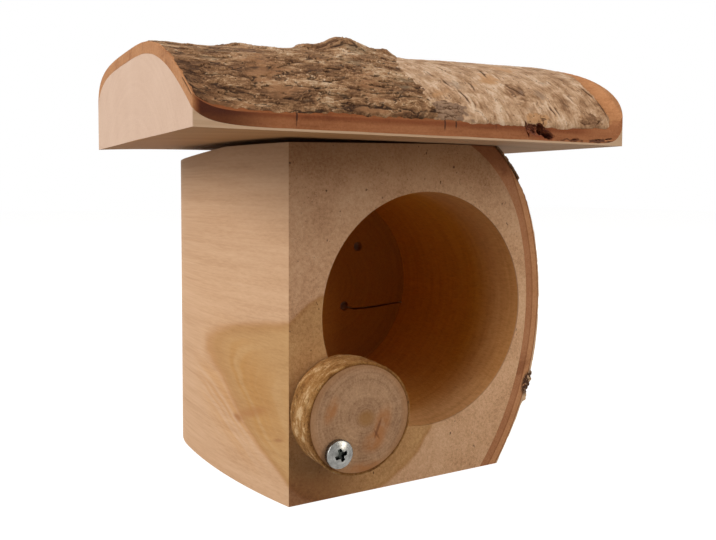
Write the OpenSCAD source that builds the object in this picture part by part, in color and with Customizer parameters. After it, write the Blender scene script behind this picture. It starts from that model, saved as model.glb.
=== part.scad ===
// Bird feeder made from a piece of log: a block bored to take a feed jar on its side,
// a bark-covered roof slab, and a branch slice on one screw that keeps the jar in.
// Millimetres. +Z up, the open front faces -Y, and the base stands on Z = 0 below the bore.

/* [Block] */
// Height of the block at its front left edge
block_h = 125; // [118:1:150]
// Depth of the block from front to back
block_d = 103; // [96:1:130]
// Width of the sawn base, from the left edge to the outside of the bark
base_w = 91; // [86:1:110]
// How far the left side swells out past the front left edge
left_swell = 12.2; // [6:0.1:16]
// Distance behind the front at which the left side swells furthest
left_swell_y = 79; // [50:1:85]
// Radius of the left side behind that place
left_back_r = 55; // [45:1:120]
// Rise of the sawn top from its left edge to its right end
top_rise = 1.45; // [0:0.05:1.5]
// Slope of the waney facet at the back left of the top, in degrees
wane_slope = 6; // [0:0.5:8]

/* [Bark of the block] */
// Outer radius of the bark side
bark_r = 116; // [105:1:140]
// Height of that radius's centre above the middle of the block
bark_mid_up = 3.8; // [0:0.1:8]
// Distance below the top at which the bark starts to curve in more tightly
crown_drop = 29; // [20:1:36]
// Width of the sawn top, from the left edge to the outside of the bark
top_w = 88.5; // [84:0.5:94]
// Thickness of the inner bark
inner_bark_t = 5.2; // [3:0.1:6]
// Thickness of the outer bark
outer_bark_t = 2; // [1:0.1:3]
// Thickness of the rough bark left on at the top
rough_patch_t = 0.8; // [0.5:0.1:3]
// Lowest point of that rough bark
rough_patch_z = 110; // [90:1:114]
// Depth of that rough bark from the front
rough_patch_d = 62; // [30:1:90]

/* [Jar bore] */
// Diameter of the bore
bore_d = 88.2; // [72:0.2:88.4]
// Depth of the bore
bore_depth = 87; // [60:1:90]
// Distance from the left edge of the block to the bore's axis
bore_x = 56.7; // [53:0.1:57]
// Height of the bore's axis
bore_z = 64.5; // [56:0.5:66]

/* [Wall holes] */
// Diameter of the two screw holes through the back wall
wall_hole_d = 4.5; // [3:0.1:6]
// Upper hole, to the right of the bore's axis and above it
wall_hole_up = [17.9, 17.4];
// Lower hole, to the right of the bore's axis and above it
wall_hole_low = [10.6, -11.2];
// Depth of the drying crack that runs from the lower hole to the bore's side
crack_depth = 5; // [2:0.5:9]
// Width of the crack at the hole
crack_w = 1.1; // [0.6:0.1:2]

/* [Jar stop] */
// Diameter of the branch slice over its bark
disc_d = 40.2; // [32:0.2:49]
// Thickness of the slice
disc_t = 13.9; // [8:0.1:20]
// Thickness of the slice's bark
disc_bark_t = 1.5; // [0.8:0.1:2.5]
// Distance from the slice's middle to its screw
disc_offset = 13.5; // [8:0.1:14]
// Direction of the slice's middle from its screw, in degrees from the right
disc_angle = 50; // [30:1:70]
// Distance from the left edge of the block to the screw
stop_x = 11.4; // [9:0.1:16]
// Height of the screw
stop_z = 21.5; // [16:0.1:28]
// Diameter of the screw's shank
shank_d = 4.4; // [3:0.1:5.5]
// Diameter of the screw's pan head
head_d = 9.6; // [8:0.1:12]
// Height of the pan head
head_h = 3; // [2:0.1:4]
// Length of the screw under its head
stop_screw_l = 38; // [28:1:60]
// Height of the head's straight rim
head_rim = 0.6; // [0.3:0.1:1.2]
// Width of the two slots of the head's cross recess
recess_w = 1.25; // [0.8:0.05:1.6]
// Length of those slots
recess_l = 6; // [4:0.1:7]
// Depth of the recess
recess_depth = 1.8; // [1:0.1:1.9]
// Turn of the recess, in degrees
recess_turn = 25; // [0:5:85]
// Radial clearance of the slice on its screw
running_gap = 0.06; // [0.02:0.01:0.1]
// Clearance between the slice and the faces beside it
face_gap = 0.3; // [0.2:0.05:0.5]

/* [Roof slab] */
// Length of the slab, left to right
roof_l = 163.2; // [150:0.1:200]
// Reach of the slab past the left edge of the block
roof_left = 43.1; // [30:0.1:50]
// Reach of the slab past the front of the block
roof_front = 34.1; // [20:0.1:45]
// Distance from the slab's back to the block's back
roof_back = 1.1; // [0:0.1:5]
// Height of the slab's lower front edge above the block's front left edge
roof_seat = 0.75; // [0.6:0.05:2]
// Hollow of the cupped underside
cup = 1.3; // [1:0.05:2]
// Height of the ridge over the lower front edge, at the left end
ridge_left = 32.7; // [26:0.1:40]
// Height of the ridge over the lower front edge, at the right end
ridge_right = 37; // [26:0.1:42]
// Height of the front face along its middle stretch
front_h = 4.6; // [4.2:0.1:8]
// Height of the front face at the left end
front_h_left = 9; // [6:0.1:12]
// Height of the front face at the right end
front_h_right = 11; // [6:0.1:14]
// Height of the back face
back_h = 14.5; // [8:0.5:18]
// Thickness of the roof's inner bark
roof_inner_t = 3.9; // [2:0.1:4]
// Least thickness of the rough outer bark
rough_t = 1.2; // [0.8:0.1:2]
// Height of the plates of the rough outer bark
plate_h = 1.5; // [0:0.1:2]
// Thickness of the smooth outer bark
smooth_t = 0.9; // [0.6:0.1:2]
// Share of the slab's length that the rough bark covers
rough_share = 0.5; // [0.4:0.01:0.8]
// Height of the knot on the rough bark
knot_h = 7.5; // [0:0.1:9]
// Height of the smaller bump to its left
bump_h = 1.6; // [0:0.1:3]
// Diameter of the dead knot's cavity in the front face
knot_hole_d = 11; // [6:0.5:13]
// Depth of that cavity
knot_hole_depth = 6; // [3:0.5:8]
// Place of its middle, from the left edge of the block and above the underside
knot_hole_at = [84, 4.6];

/* [Roof screws] */
// Diameter of the screws that hold the roof down
roof_screw_d = 4.5; // [3:0.1:5]
// Diameter of their countersunk heads
roof_head_d = 9; // [7:0.1:10]
// Depth that they reach into the block
roof_screw_grip = 12; // [8:0.5:14]
// Places of the screws, from the left edge and the front of the block
roof_screw_at = [[12, 56], [68, 46]];

/* [Hidden] */
$fn = 96;

WOOD = "#c9a679";
INNER_BARK = "#b0713f";
OUTER_BARK = "#8a6a4a";
ROUGH_BARK = "#6d5a47";
SMOOTH_BARK = "#b09274";
ZINC = "#c4c6c8";

// A size larger than the whole feeder, for half planes and cuts
far = 400;
// Overlap of a cutter past the face that it opens
past = 1;
left_x = -bore_x;
front_y = -block_d / 2;
back_y = block_d / 2;

// Plan of the left side: one arc to its widest place, and a tighter one behind it
left_front_r = (pow(left_swell_y, 2) + pow(left_swell, 2)) / (2 * left_swell);
swell_x = left_x - left_swell;
swell_y = front_y + left_swell_y;

// Bark side: a big arc, and a tighter crown arc that starts along its tangent and ends at the sawn top
bark_mid_z = block_h / 2 + bark_mid_up;
bark_mid = [left_x + base_w - sqrt(pow(bark_r, 2) - pow(bark_mid_z, 2)), bark_mid_z];
crown_a = asin((block_h - crown_drop - bark_mid_z) / bark_r);
crown_way = [cos(crown_a), sin(crown_a)];
crown_chord = [left_x + top_w, block_h + top_rise] - bark_mid - bark_r * crown_way;
crown_r = -(crown_chord * crown_chord) / (2 * (crown_chord * crown_way));
crown_mid = bark_mid + (bark_r - crown_r) * crown_way;

// The sawn top climbs to this distance from the left edge, and is level beyond it
top_level_x = 62;
// Line on which the waney facet starts, from the left edge and the front of the block
wane_from = [-9, 38];
wane_to = [36, block_d];
// Outline of the crack above and below its line, in shares of its reach and of its width
crack_top = [[1, 0.2], [0.45, -1], [0.15, -1.2], [0, 0.3]];
crack_bottom = [[0, -0.6], [0.15, -1.9], [0.45, -1.9], [1, -0.4]];

stop_at = [left_x + stop_x, stop_z];
disc_mid = stop_at + disc_offset * [cos(disc_angle), sin(disc_angle)];
disc_back_y = front_y - face_gap;
disc_front_y = disc_back_y - disc_t;

roof_x0 = left_x - roof_left;
roof_x1 = roof_x0 + roof_l;
roof_y0 = front_y - roof_front;
roof_y1 = back_y - roof_back;
roof_d = roof_y1 - roof_y0;
roof_z = block_h + roof_seat;
// Grid over the slab, the share by which its columns crowd towards the ends, and those without outer bark
roof_cols = 44;
roof_rows = 20;
end_crowd = 0.4;
bare_cols = 2;
seam_col = round(rough_share * roof_cols);
seam_wave = 5;
seam_turn = 620;
seam_start = 40;
// Where the front face grows towards the two ends, in millimetres from each end
flare_left = 4.5;
flare_right = 2.5;
flare_in = 13;
// Place of the ridge, as a share of the slab's depth from its front
ridge_v = 0.56;
// Powers of the left end's front slope, of the right end's, of the back, and of the cupped underside from
// front to back and from its middle to its two ends
slope_power = 1.4;
right_power = 1.9;
back_power = 3.6;
cup_power = 6;
cup_end_power = 4;
// Plates of the rough bark: phase in degrees for each millimetre, how far they wander, and their breaks
plate_turn = 9.5;
plate_start = 20;
wander = 34;
wander_turn = 3.1;
break_turn = [5.3, 4];
break_share = 0.4;
// Knot and bump on the rough bark, from the left edge and the front of the block
knot_at = [26.5, 15];
knot_r = 8.5;
bump_at = [-13, 17];
bump_r = 7;
// The slice's outline is a little oval and three-sided, as shares of its radius with their turns
slice_oval = 0.012;
slice_oval_turn = 20;
slice_three = 0.008;
slice_three_turn = -30;

function mix(a, b, t) = a + (b - a) * t;
function sq(a) = a * a;

// ---------------------------------------------------------------- block

// Outline of the log in the XZ plane, moved in from the bark's outside
module log_outline(inset) {
    intersection() {
        translate(bark_mid) circle(r = bark_r - inset, $fn = 180);
        union() {
            translate(crown_mid) circle(r = crown_r - inset, $fn = 180);
            translate([-far, -far]) square([2 * far, far + bark_mid[1] + (bark_r - inset) * crown_way[1]]);
            translate([crown_mid[0] - far, -far]) square([far, 2 * far]);
        }
    }
}

module stand_up(y0, y1) {
    translate([0, y1, 0]) rotate([90, 0, 0]) linear_extrude(y1 - y0) children();
}

// Sawn top and base, seen from the front
module sawn_outline() {
    polygon([[-far, 0], [far, 0], [far, block_h + top_rise], [left_x + top_level_x, block_h + top_rise],
             [left_x, block_h], [-far, block_h]]);
}

// Left side, front and back, seen from above
module plan_outline() {
    intersection() {
        translate([-far, front_y]) square([2 * far, block_d]);
        translate([swell_x + left_front_r, swell_y]) circle(r = left_front_r, $fn = 240);
        union() {
            translate([swell_x + left_back_r, swell_y]) circle(r = left_back_r, $fn = 180);
            translate([-far, swell_y - far]) square([2 * far, far]);
            translate([swell_x + left_back_r, -far]) square([far, 2 * far]);
        }
    }
}

// Waney facet that falls away to the back left corner of the top
module wane() {
    run = wane_to - wane_from;
    translate([left_x + wane_from[0], front_y + wane_from[1], block_h])
        rotate([0, 0, atan2(run[1], run[0])])
        rotate([-wane_slope, 0, 0])
        translate([-far / 2, 0, 0])
        cube([far, far, far / 4]);
}

// Everything between the outlines out_inset and in_inset, sawn to the block's faces
module log_layer(out_inset, in_inset) {
    difference() {
        intersection() {
            stand_up(front_y - past, back_y + past)
                intersection() {
                    sawn_outline();
                    difference() {
                        log_outline(out_inset);
                        if (in_inset > out_inset) log_outline(in_inset);
                    }
                }
            linear_extrude(far) plan_outline();
        }
        wane();
    }
}

module hole_y(at, d, y0, y1) {
    translate([at[0], y1, at[1]]) rotate([90, 0, 0]) cylinder(h = y1 - y0, d = d);
}

// Thin drying crack in the back wall, from the lower hole to the side of the bore
module crack() {
    from = [wall_hole_low[0], bore_z + wall_hole_low[1]];
    reach = bore_d / 2 - from[0] - past;
    translate([0, front_y + bore_depth + crack_depth, 0]) rotate([90, 0, 0])
        linear_extrude(crack_depth + past)
        polygon([for (p = concat(crack_bottom, crack_top)) from + [p[0] * reach, p[1] * crack_w]]);
}

module block_wood() {
    color(WOOD) difference() {
        log_layer(outer_bark_t + inner_bark_t, 0);
        hole_y([0, bore_z], bore_d, front_y - past, front_y + bore_depth);
        for (at = [wall_hole_up, wall_hole_low])
            hole_y(at + [0, bore_z], wall_hole_d, front_y + bore_depth - past, back_y + past);
        crack();
        hole_y(stop_at, shank_d + 2 * running_gap, front_y - past, disc_front_y + stop_screw_l + past);
        for (at = roof_screw_at)
            translate([left_x + at[0], front_y + at[1], block_h - roof_screw_grip - past])
                cylinder(h = roof_screw_grip + far / 4, d = roof_screw_d + 2 * running_gap);
    }
}

module block_inner_bark() { color(INNER_BARK) log_layer(outer_bark_t, outer_bark_t + inner_bark_t); }

module block_outer_bark() { color(OUTER_BARK) log_layer(0, outer_bark_t); }

module block_rough_bark() {
    color(ROUGH_BARK) intersection() {
        log_layer(-rough_patch_t, 0);
        translate([0, front_y - past, rough_patch_z]) cube([far, rough_patch_d + past, far]);
    }
}

// ---------------------------------------------------------------- roof slab

// Top of the inner bark at x, y. The left end slopes to its front, the right end is rounder.
function front_fall(y) = (mix(roof_y0, roof_y1, ridge_v) - y) / (ridge_v * roof_d);
function back_fall(y) = -front_fall(y) * ridge_v / (1 - ridge_v);
function round_over(t, power) = pow(max(0, 1 - pow(t, power)), 1 / power);
function back_top(y, ridge) = mix(back_h, ridge, round_over(back_fall(y), back_power));
function left_top(y) =
    front_fall(y) < 0 ? back_top(y, ridge_left)
    : mix(front_h_left, ridge_left, cos(90 * pow(front_fall(y), slope_power)));
function right_top(y) =
    front_fall(y) < 0 ? back_top(y, ridge_right)
    : mix(front_h_right, ridge_right, round_over(front_fall(y), right_power));
function front_dip(x) =
    let (w = (x - roof_x0) / roof_l,
         full = mix(front_h_left, front_h_right, w) - front_h)
    full * (1 - exp(-(x - roof_x0) / flare_left)) * (1 - exp(-(roof_x1 - x) / flare_right));
function inner_top(x, y) =
    roof_z + mix(left_top(y), right_top(y), (x - roof_x0) / roof_l)
    - front_dip(x) * exp(-(y - roof_y0) / flare_in);
function wood_top(x, y) = inner_top(x, y) - roof_inner_t;
function under(x, y) =
    roof_z + cup * (1 - pow(1 - (y - roof_y0) / roof_d, cup_power))
        * (1 - pow(abs(2 * (x - roof_x0) / roof_l - 1), cup_end_power));

// Plates of the rough bark: long broken ridges, a knot and a smaller bump
function hump(x, y, at, r) = exp(-(sq(x - left_x - at[0]) + sq(y - front_y - at[1])) / sq(r));
function rough_top(x, y) =
    inner_top(x, y) + rough_t
    + plate_h * abs(sin(plate_turn * y + wander * sin(wander_turn * x) + plate_start))
      * (1 - break_share + break_share * sin([x, y] * break_turn))
    + knot_h * hump(x, y, knot_at, knot_r) + bump_h * hump(x, y, bump_at, bump_r);
function smooth_top(x, y) = inner_top(x, y) + smooth_t;

// Rows crowd towards the front and back, columns towards the ends, and the columns wave along the bark's seam
function row_y(j) = mix(roof_y0, roof_y1, (1 - cos(180 * j / roof_rows)) / 2);
function col_share(i) = i / roof_cols - end_crowd * sin(360 * i / roof_cols) / (2 * PI);
function col_x(i, j) =
    mix(roof_x0, roof_x1, col_share(i))
    + seam_wave * sq(sin(180 * i / roof_cols)) * sin(seam_turn * j / roof_rows + seam_start);
function grid(i0, i1, j0, j1, layer) =
    [for (i = [i0:i1]) for (j = [j0:j1])
        let (x = col_x(i, j), y = row_y(j))
        [x, y, layer == "wood" ? wood_top(x, y) : layer == "inner" ? inner_top(x, y)
             : layer == "rough" ? rough_top(x, y) : layer == "smooth" ? smooth_top(x, y) : under(x, y)]];

// Closed shell between two grids of the same size, given as one list: the top's points come first
module grid_shell(points, ni, nj) {
    n = ni * nj;
    function at(i, j) = i * nj + j;
    top = [for (i = [0:ni - 2]) for (j = [0:nj - 2])
        each [[at(i, j), at(i, j + 1), at(i + 1, j + 1)], [at(i, j), at(i + 1, j + 1), at(i + 1, j)]]];
    bottom = [for (f = top) [f[2] + n, f[1] + n, f[0] + n]];
    ends = [for (j = [0:nj - 2])
        each [[at(0, j), n + at(0, j), n + at(0, j + 1), at(0, j + 1)],
              [at(ni - 1, j + 1), n + at(ni - 1, j + 1), n + at(ni - 1, j), at(ni - 1, j)]]];
    sides = [for (i = [0:ni - 2])
        each [[at(i + 1, 0), n + at(i + 1, 0), n + at(i, 0), at(i, 0)],
              [at(i, nj - 1), n + at(i, nj - 1), n + at(i + 1, nj - 1), at(i + 1, nj - 1)]]];
    polyhedron(points, concat(top, bottom, ends, sides), convexity = 6);
}

module roof_layer(upper, lower, i0, i1, j0, j1) {
    grid_shell(concat(grid(i0, i1, j0, j1, upper), grid(i0, i1, j0, j1, lower)), i1 - i0 + 1, j1 - j0 + 1);
}

// Where the head of a roof screw ends, sunk just under the inner bark
function head_z(at) = wood_top(left_x + at[0], front_y + at[1]);

module roof_screw_space(grow) {
    for (at = roof_screw_at)
        translate([left_x + at[0], front_y + at[1], 0]) {
            cylinder(h = far, d = roof_screw_d + 2 * grow);
            translate([0, 0, head_z(at) - roof_head_d / 2 - grow])
                cylinder(h = far / 4, d = roof_head_d + 2 * grow);
        }
}

// Cavity of the dead knot, open to the front and narrower inside
module knot_hole() {
    translate([left_x + knot_hole_at[0], roof_y0, roof_z + knot_hole_at[1]]) rotate([-90, 0, 0]) {
        translate([0, 0, -past]) cylinder(h = past, d = knot_hole_d);
        cylinder(h = knot_hole_depth, d1 = knot_hole_d, d2 = knot_hole_d / 2);
    }
}

module roof_wood() {
    color(WOOD) difference() {
        roof_layer("wood", "under", 0, roof_cols, 0, roof_rows);
        roof_screw_space(running_gap);
        knot_hole();
    }
}

module roof_inner_bark() {
    color(INNER_BARK) difference() {
        roof_layer("inner", "wood", 0, roof_cols, 0, roof_rows);
        roof_screw_space(running_gap);
        knot_hole();
    }
}

module roof_rough_bark() {
    color(ROUGH_BARK) difference() {
        roof_layer("rough", "inner", bare_cols, seam_col, 1, roof_rows);
        roof_screw_space(running_gap);
    }
}

module roof_smooth_bark() {
    color(SMOOTH_BARK) difference() {
        roof_layer("smooth", "inner", seam_col, roof_cols - bare_cols, 1, roof_rows);
        roof_screw_space(running_gap);
        knot_hole();
    }
}

module roof_screw(at) {
    translate([left_x + at[0], front_y + at[1], 0]) rotate_extrude()
        polygon([[0, block_h - roof_screw_grip], [roof_screw_d / 2, block_h - roof_screw_grip + roof_screw_d],
                 [roof_screw_d / 2, head_z(at) - roof_head_d / 2],
                 [roof_head_d / 2, head_z(at) - roof_head_d / 4],
                 [roof_head_d / 2, head_z(at)], [0, head_z(at)]]);
}

module roof_screw_left() { color(ZINC) roof_screw(roof_screw_at[0]); }

module roof_screw_right() { color(ZINC) roof_screw(roof_screw_at[1]); }

// ---------------------------------------------------------------- jar stop

// Outline of the branch slice, not quite round, about its middle
function slice_r(a, inset) =
    disc_d / 2 * (1 + slice_oval * cos(2 * a + slice_oval_turn) + slice_three * cos(3 * a + slice_three_turn))
    - inset;

module slice_outline(inset) {
    polygon([for (a = [0:5:355]) slice_r(a, inset) * [cos(a), sin(a)]]);
}

module disc_wood() {
    color(WOOD) difference() {
        translate([disc_mid[0], 0, disc_mid[1]])
            stand_up(disc_front_y, disc_back_y) slice_outline(disc_bark_t);
        hole_y(stop_at, shank_d + 2 * running_gap, disc_front_y - past, disc_back_y + past);
    }
}

module disc_bark() {
    color(OUTER_BARK) translate([disc_mid[0], 0, disc_mid[1]])
        stand_up(disc_front_y, disc_back_y) difference() {
            slice_outline(0);
            slice_outline(disc_bark_t);
        }
}

// Pan-head screw with a cross recess, along Y with its head to the front
module disc_screw() {
    dome_r = (sq(head_d / 2) + sq(head_h - head_rim)) / (2 * (head_h - head_rim));
    color(ZINC) translate([stop_at[0], disc_front_y - face_gap, stop_at[1]]) rotate([-90, 0, 0]) {
        difference() {
            intersection() {
                translate([0, 0, -head_h]) cylinder(h = head_h, d = head_d);
                translate([0, 0, dome_r - head_h]) sphere(r = dome_r);
            }
            for (turn = [0, 90])
                rotate([0, 0, turn + recess_turn]) translate([-recess_l / 2, -recess_w / 2, -head_h - past])
                    cube([recess_l, recess_w, past + recess_depth]);
        }
        cylinder(h = stop_screw_l - shank_d, d = shank_d);
        translate([0, 0, stop_screw_l - shank_d]) cylinder(h = shank_d, d1 = shank_d, d2 = 0);
    }
}

block_wood();
block_inner_bark();
block_outer_bark();
block_rough_bark();
roof_wood();
roof_inner_bark();
roof_rough_bark();
roof_smooth_bark();
roof_screw_left();
roof_screw_right();
disc_wood();
disc_bark();
disc_screw();
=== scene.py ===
import math
import bmesh
import bpy
import numpy as np
from mathutils import Matrix, Vector


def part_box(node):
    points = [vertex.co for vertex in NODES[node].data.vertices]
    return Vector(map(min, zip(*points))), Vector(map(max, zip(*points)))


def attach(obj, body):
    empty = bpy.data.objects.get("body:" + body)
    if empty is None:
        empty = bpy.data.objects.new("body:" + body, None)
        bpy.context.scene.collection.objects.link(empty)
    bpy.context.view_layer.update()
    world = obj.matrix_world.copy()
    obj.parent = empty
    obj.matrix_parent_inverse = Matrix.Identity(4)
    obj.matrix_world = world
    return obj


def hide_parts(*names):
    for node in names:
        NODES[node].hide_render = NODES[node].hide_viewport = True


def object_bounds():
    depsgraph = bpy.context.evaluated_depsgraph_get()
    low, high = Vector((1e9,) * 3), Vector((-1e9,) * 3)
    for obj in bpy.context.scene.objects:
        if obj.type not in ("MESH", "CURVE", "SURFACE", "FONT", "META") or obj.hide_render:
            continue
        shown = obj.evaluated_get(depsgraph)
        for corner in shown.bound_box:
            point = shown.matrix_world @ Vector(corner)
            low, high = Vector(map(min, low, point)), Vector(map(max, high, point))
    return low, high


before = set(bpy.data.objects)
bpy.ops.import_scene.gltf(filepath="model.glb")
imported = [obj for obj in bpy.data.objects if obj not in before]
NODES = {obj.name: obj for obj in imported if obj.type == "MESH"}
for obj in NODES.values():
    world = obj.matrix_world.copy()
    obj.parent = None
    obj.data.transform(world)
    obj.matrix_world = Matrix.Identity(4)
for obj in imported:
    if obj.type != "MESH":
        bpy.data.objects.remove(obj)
CAD_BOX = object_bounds()
scene = bpy.context.scene
MM = 0.001

# ------------------------------------------------------------------ camera

YAW, PITCH, ROLL = math.radians(28.85), math.radians(-3.0), math.radians(0.24)
EYE = (-0.16008, -0.28762, 0.10852)
LENS, SHIFT_UP = 38.309, -0.0538

ahead = Vector((math.sin(YAW) * math.cos(PITCH), math.cos(YAW) * math.cos(PITCH), math.sin(PITCH)))
side = Vector((math.cos(YAW), -math.sin(YAW), 0))
over = side.cross(ahead)
turned = (math.cos(ROLL) * side + math.sin(ROLL) * over, math.cos(ROLL) * over - math.sin(ROLL) * side, -ahead)
cam_data = bpy.data.cameras.new("camera")
cam_data.sensor_width, cam_data.sensor_fit = 36, "HORIZONTAL"
cam_data.lens, cam_data.shift_y, cam_data.clip_start = LENS, SHIFT_UP, 0.01
cam = bpy.data.objects.new("camera", cam_data)
scene.collection.objects.link(cam)
cam.matrix_world = Matrix.Translation(EYE) @ Matrix(turned).transposed().to_4x4()
scene.camera = cam

# ------------------------------------------------------------------ repeatable noise on numpy arrays


def cell_random(ix, iy, seed):
    """A repeatable value from 0 to 1 for each integer cell."""
    h = (ix * 374761393 + iy * 668265263 + seed * 974634777) & 0xFFFFFFFF
    h = ((h ^ (h >> 13)) * 1274126177) & 0xFFFFFFFF
    return ((h ^ (h >> 16)) & 0xFFFFFF) / 16777216.0


def noise(x, y, seed, wrap=0):
    """Gradient noise, about -1 to 1. wrap is the period in x, in whole cells."""
    x, y = np.broadcast_arrays(np.asarray(x, float), np.asarray(y, float))
    ix, iy = np.floor(x).astype(np.int64), np.floor(y).astype(np.int64)
    fx, fy = x - ix, y - iy
    ux, uy = fx**3 * (fx * (fx * 6 - 15) + 10), fy**3 * (fy * (fy * 6 - 15) + 10)

    def corner(dx, dy):
        cx = (ix + dx) % wrap if wrap else ix + dx
        a = cell_random(cx, iy + dy, seed) * 2 * np.pi
        return np.cos(a) * (fx - dx) + np.sin(a) * (fy - dy)

    low = corner(0, 0) * (1 - ux) + corner(1, 0) * ux
    high = corner(0, 1) * (1 - ux) + corner(1, 1) * ux
    return 1.5 * (low * (1 - uy) + high * uy)


def fbm(x, y, octaves, seed, wrap=0):
    """Layers of noise, each at twice the frequency and half the height of the one before."""
    total, size, weight = 0.0, 1, 1.0
    for k in range(octaves):
        total = total + weight * noise(x * size, y * size, seed + 17 * k, wrap * size)
        size, weight = size * 2, weight * 0.5
    return total * 0.5


def ramp(v, a, b):
    """A smooth step from 0 at a to 1 at b."""
    t = np.clip((v - a) / (b - a), 0, 1)
    return t * t * (3 - 2 * t)


def mix(a, b, t):
    return a + (b - a) * t


def line_dist(x, y, ax, ay, bx, by):
    """Distance from a straight line, and the share of the way along it."""
    vx, vy = bx - ax, by - ay
    t = np.clip(((x - ax) * vx + (y - ay) * vy) / (vx * vx + vy * vy), 0, 1)
    return np.hypot(x - ax - t * vx, y - ay - t * vy), t


def oval(x, s, cx, cs, rx, rs):
    return np.exp(-((x - cx) / rx) ** 2 - ((s - cs) / rs) ** 2)


def hump(x, y, at, r):
    return np.exp(-((x - at[0]) ** 2 + (y - at[1]) ** 2) / r**2)


def least(*arrays):
    return np.minimum.reduce(arrays)


def most(*arrays):
    return np.maximum.reduce(arrays)


def steps(n):
    return n


# ------------------------------------------------------------------ meshes, in millimetres


def make_object(name, points, faces, mats=(), sharp=None, bark=None):
    """A smooth-shaded closed mesh that faces outwards. bark is tone, the darkness of slits and painted shade,
    and tint at each point.
    """
    me = bpy.data.meshes.new(name)
    me.from_pydata((np.asarray(points, float).reshape(-1, 3) * MM).tolist(), [], faces)
    me.polygons.foreach_set("use_smooth", np.ones(len(me.polygons), bool))
    if bark is not None:
        a = me.attributes.new("bark", "FLOAT_VECTOR", "POINT")
        a.data.foreach_set("vector", np.asarray(bark, np.float32).reshape(-1))
    for m in mats:
        me.materials.append(m)
    me.update()
    me.validate()
    if sharp:
        me.set_sharp_from_angle(angle=math.radians(sharp))
    bm = bmesh.new()
    bm.from_mesh(me)
    if bm.calc_volume(signed=True) < 0:
        me.flip_normals()
    bm.free()
    o = bpy.data.objects.new(name, me)
    scene.collection.objects.link(o)
    return o


def quads(nu, nv, start=0, close_v=False, flip=False):
    i = np.arange(nu - 1)[:, None]
    j = np.arange(nv if close_v else nv - 1)[None, :]
    k = (j + 1) % nv
    q = start + np.stack([i * nv + j, (i + 1) * nv + j, (i + 1) * nv + k, i * nv + k], -1).reshape(-1, 4)
    return (q[:, ::-1] if flip else q).tolist()


def raised(P, high):
    """A grid of points moved along its normals, with u x v as their side."""
    n = np.cross(np.gradient(P, axis=0), np.gradient(P, axis=1))
    n = n / np.maximum(np.linalg.norm(n, axis=-1, keepdims=True), 1e-9)
    return P + n * np.asarray(high)[..., None]


def points(*xyz):
    return np.stack(np.broadcast_arrays(*xyz), -1)


def shell(name, top, bottom, bark, mats):
    """A closed shell from a fine grid and a coarser one under it, with the same number of columns."""
    nu, nv = top.shape[:2]
    nb = bottom.shape[1]
    n = nu * nv
    faces = quads(nu, nv) + quads(nu, nb, start=n, flip=True)
    for i in range(nu - 1):
        faces.append([i * nv, n + i * nb, n + (i + 1) * nb, (i + 1) * nv])
        faces.append([(i + 1) * nv - 1, (i + 2) * nv - 1, n + (i + 2) * nb - 1, n + (i + 1) * nb - 1])
    last, last_low = (nu - 1) * nv, n + (nu - 1) * nb
    partner = np.round(np.arange(nv) * (nb - 1) / (nv - 1)).astype(int).tolist()
    for j in range(nv - 1):
        p, q = partner[j], partner[j + 1]
        near, far = [j, j + 1, n + q, n + p], [last + j + 1, last + j, last_low + p, last_low + q]
        faces += [near, far] if p != q else [near[:3], far[:3]]
    bark = np.stack(bark, -1).reshape(-1, 3)
    bark = np.concatenate([bark, np.broadcast_to(bark.mean(0), (nu * nb, 3))])
    return make_object(name, np.concatenate([top.reshape(-1, 3), bottom.reshape(-1, 3)]), faces, mats, 60, bark)


def ring_solid(name, outer, inner, fronts, mats, bevel=0.21):
    """A solid between two curves in the YZ plane for each x. outer and inner are (columns, rows, 3), with rows
    from front to back. fronts is the number of steps up the front and back faces. Strips between the curves
    close the two ends."""
    nv = outer.shape[1]
    up = np.linspace(0, 1, fronts + 1)[1:-1]
    front = inner[:, :1] + (outer[:, :1] - inner[:, :1]) * up[None, :, None]
    back = outer[:, -1:] + (inner[:, -1:] - outer[:, -1:]) * up[None, :, None]
    ring = np.concatenate([outer, back, inner[:, ::-1], front], 1)
    ends = []
    for k in (0, -1):
        d = ring[k] - ring[k].mean(0, keepdims=True)
        d[:, 0] = 0
        ends.append(ring[k] - d / np.maximum(np.linalg.norm(d, axis=1, keepdims=True), 1e-6) * bevel)
    ring[0, :, 0] += bevel
    ring[-1, :, 0] -= bevel
    full = np.concatenate([ends[0][None], ring, ends[1][None]])
    columns, size = full.shape[:2]
    pts = [full.reshape(-1, 3)]
    faces = quads(columns, size, close_v=True)
    count, m = columns * size, len(up)
    for k in (0, columns - 1):
        base = k * size
        rows = [[base + nv + m + (nv - 1 - j) for j in range(nv)]]
        low = full[k][nv + m:nv + m + nv][::-1]
        for q in range(m):
            pts.append((low + (full[k][:nv] - low) * up[q])[1:-1])
            rows.append([base + 2 * nv + m + q, *range(count, count + nv - 2), base + nv + m - 1 - q])
            count += nv - 2
        rows.append([base + j for j in range(nv)])
        for a, b in zip(rows[:-1], rows[1:]):
            for j in range(nv - 1):
                f = [a[j], b[j], b[j + 1], a[j + 1]]
                faces.append(f[::-1] if k else f)
    return make_object(name, np.concatenate(pts), faces, mats, 38)


def cut(o, cutters):
    for k in cutters:
        m = o.modifiers.new("cut", "BOOLEAN")
        m.operation, m.solver, m.object = "DIFFERENCE", "MANIFOLD", k
    graph = bpy.context.evaluated_depsgraph_get()
    me = bpy.data.meshes.new_from_object(o.evaluated_get(graph), preserve_all_data_layers=True, depsgraph=graph)
    o.modifiers.clear()
    old, o.data = o.data, me
    bpy.data.meshes.remove(old)
    me.name = o.name


# ------------------------------------------------------------------ the roof's surfaces, as in the CAD part


def box_mm(node):
    lo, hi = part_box(node)
    return np.array(lo) / MM, np.array(hi) / MM


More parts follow.
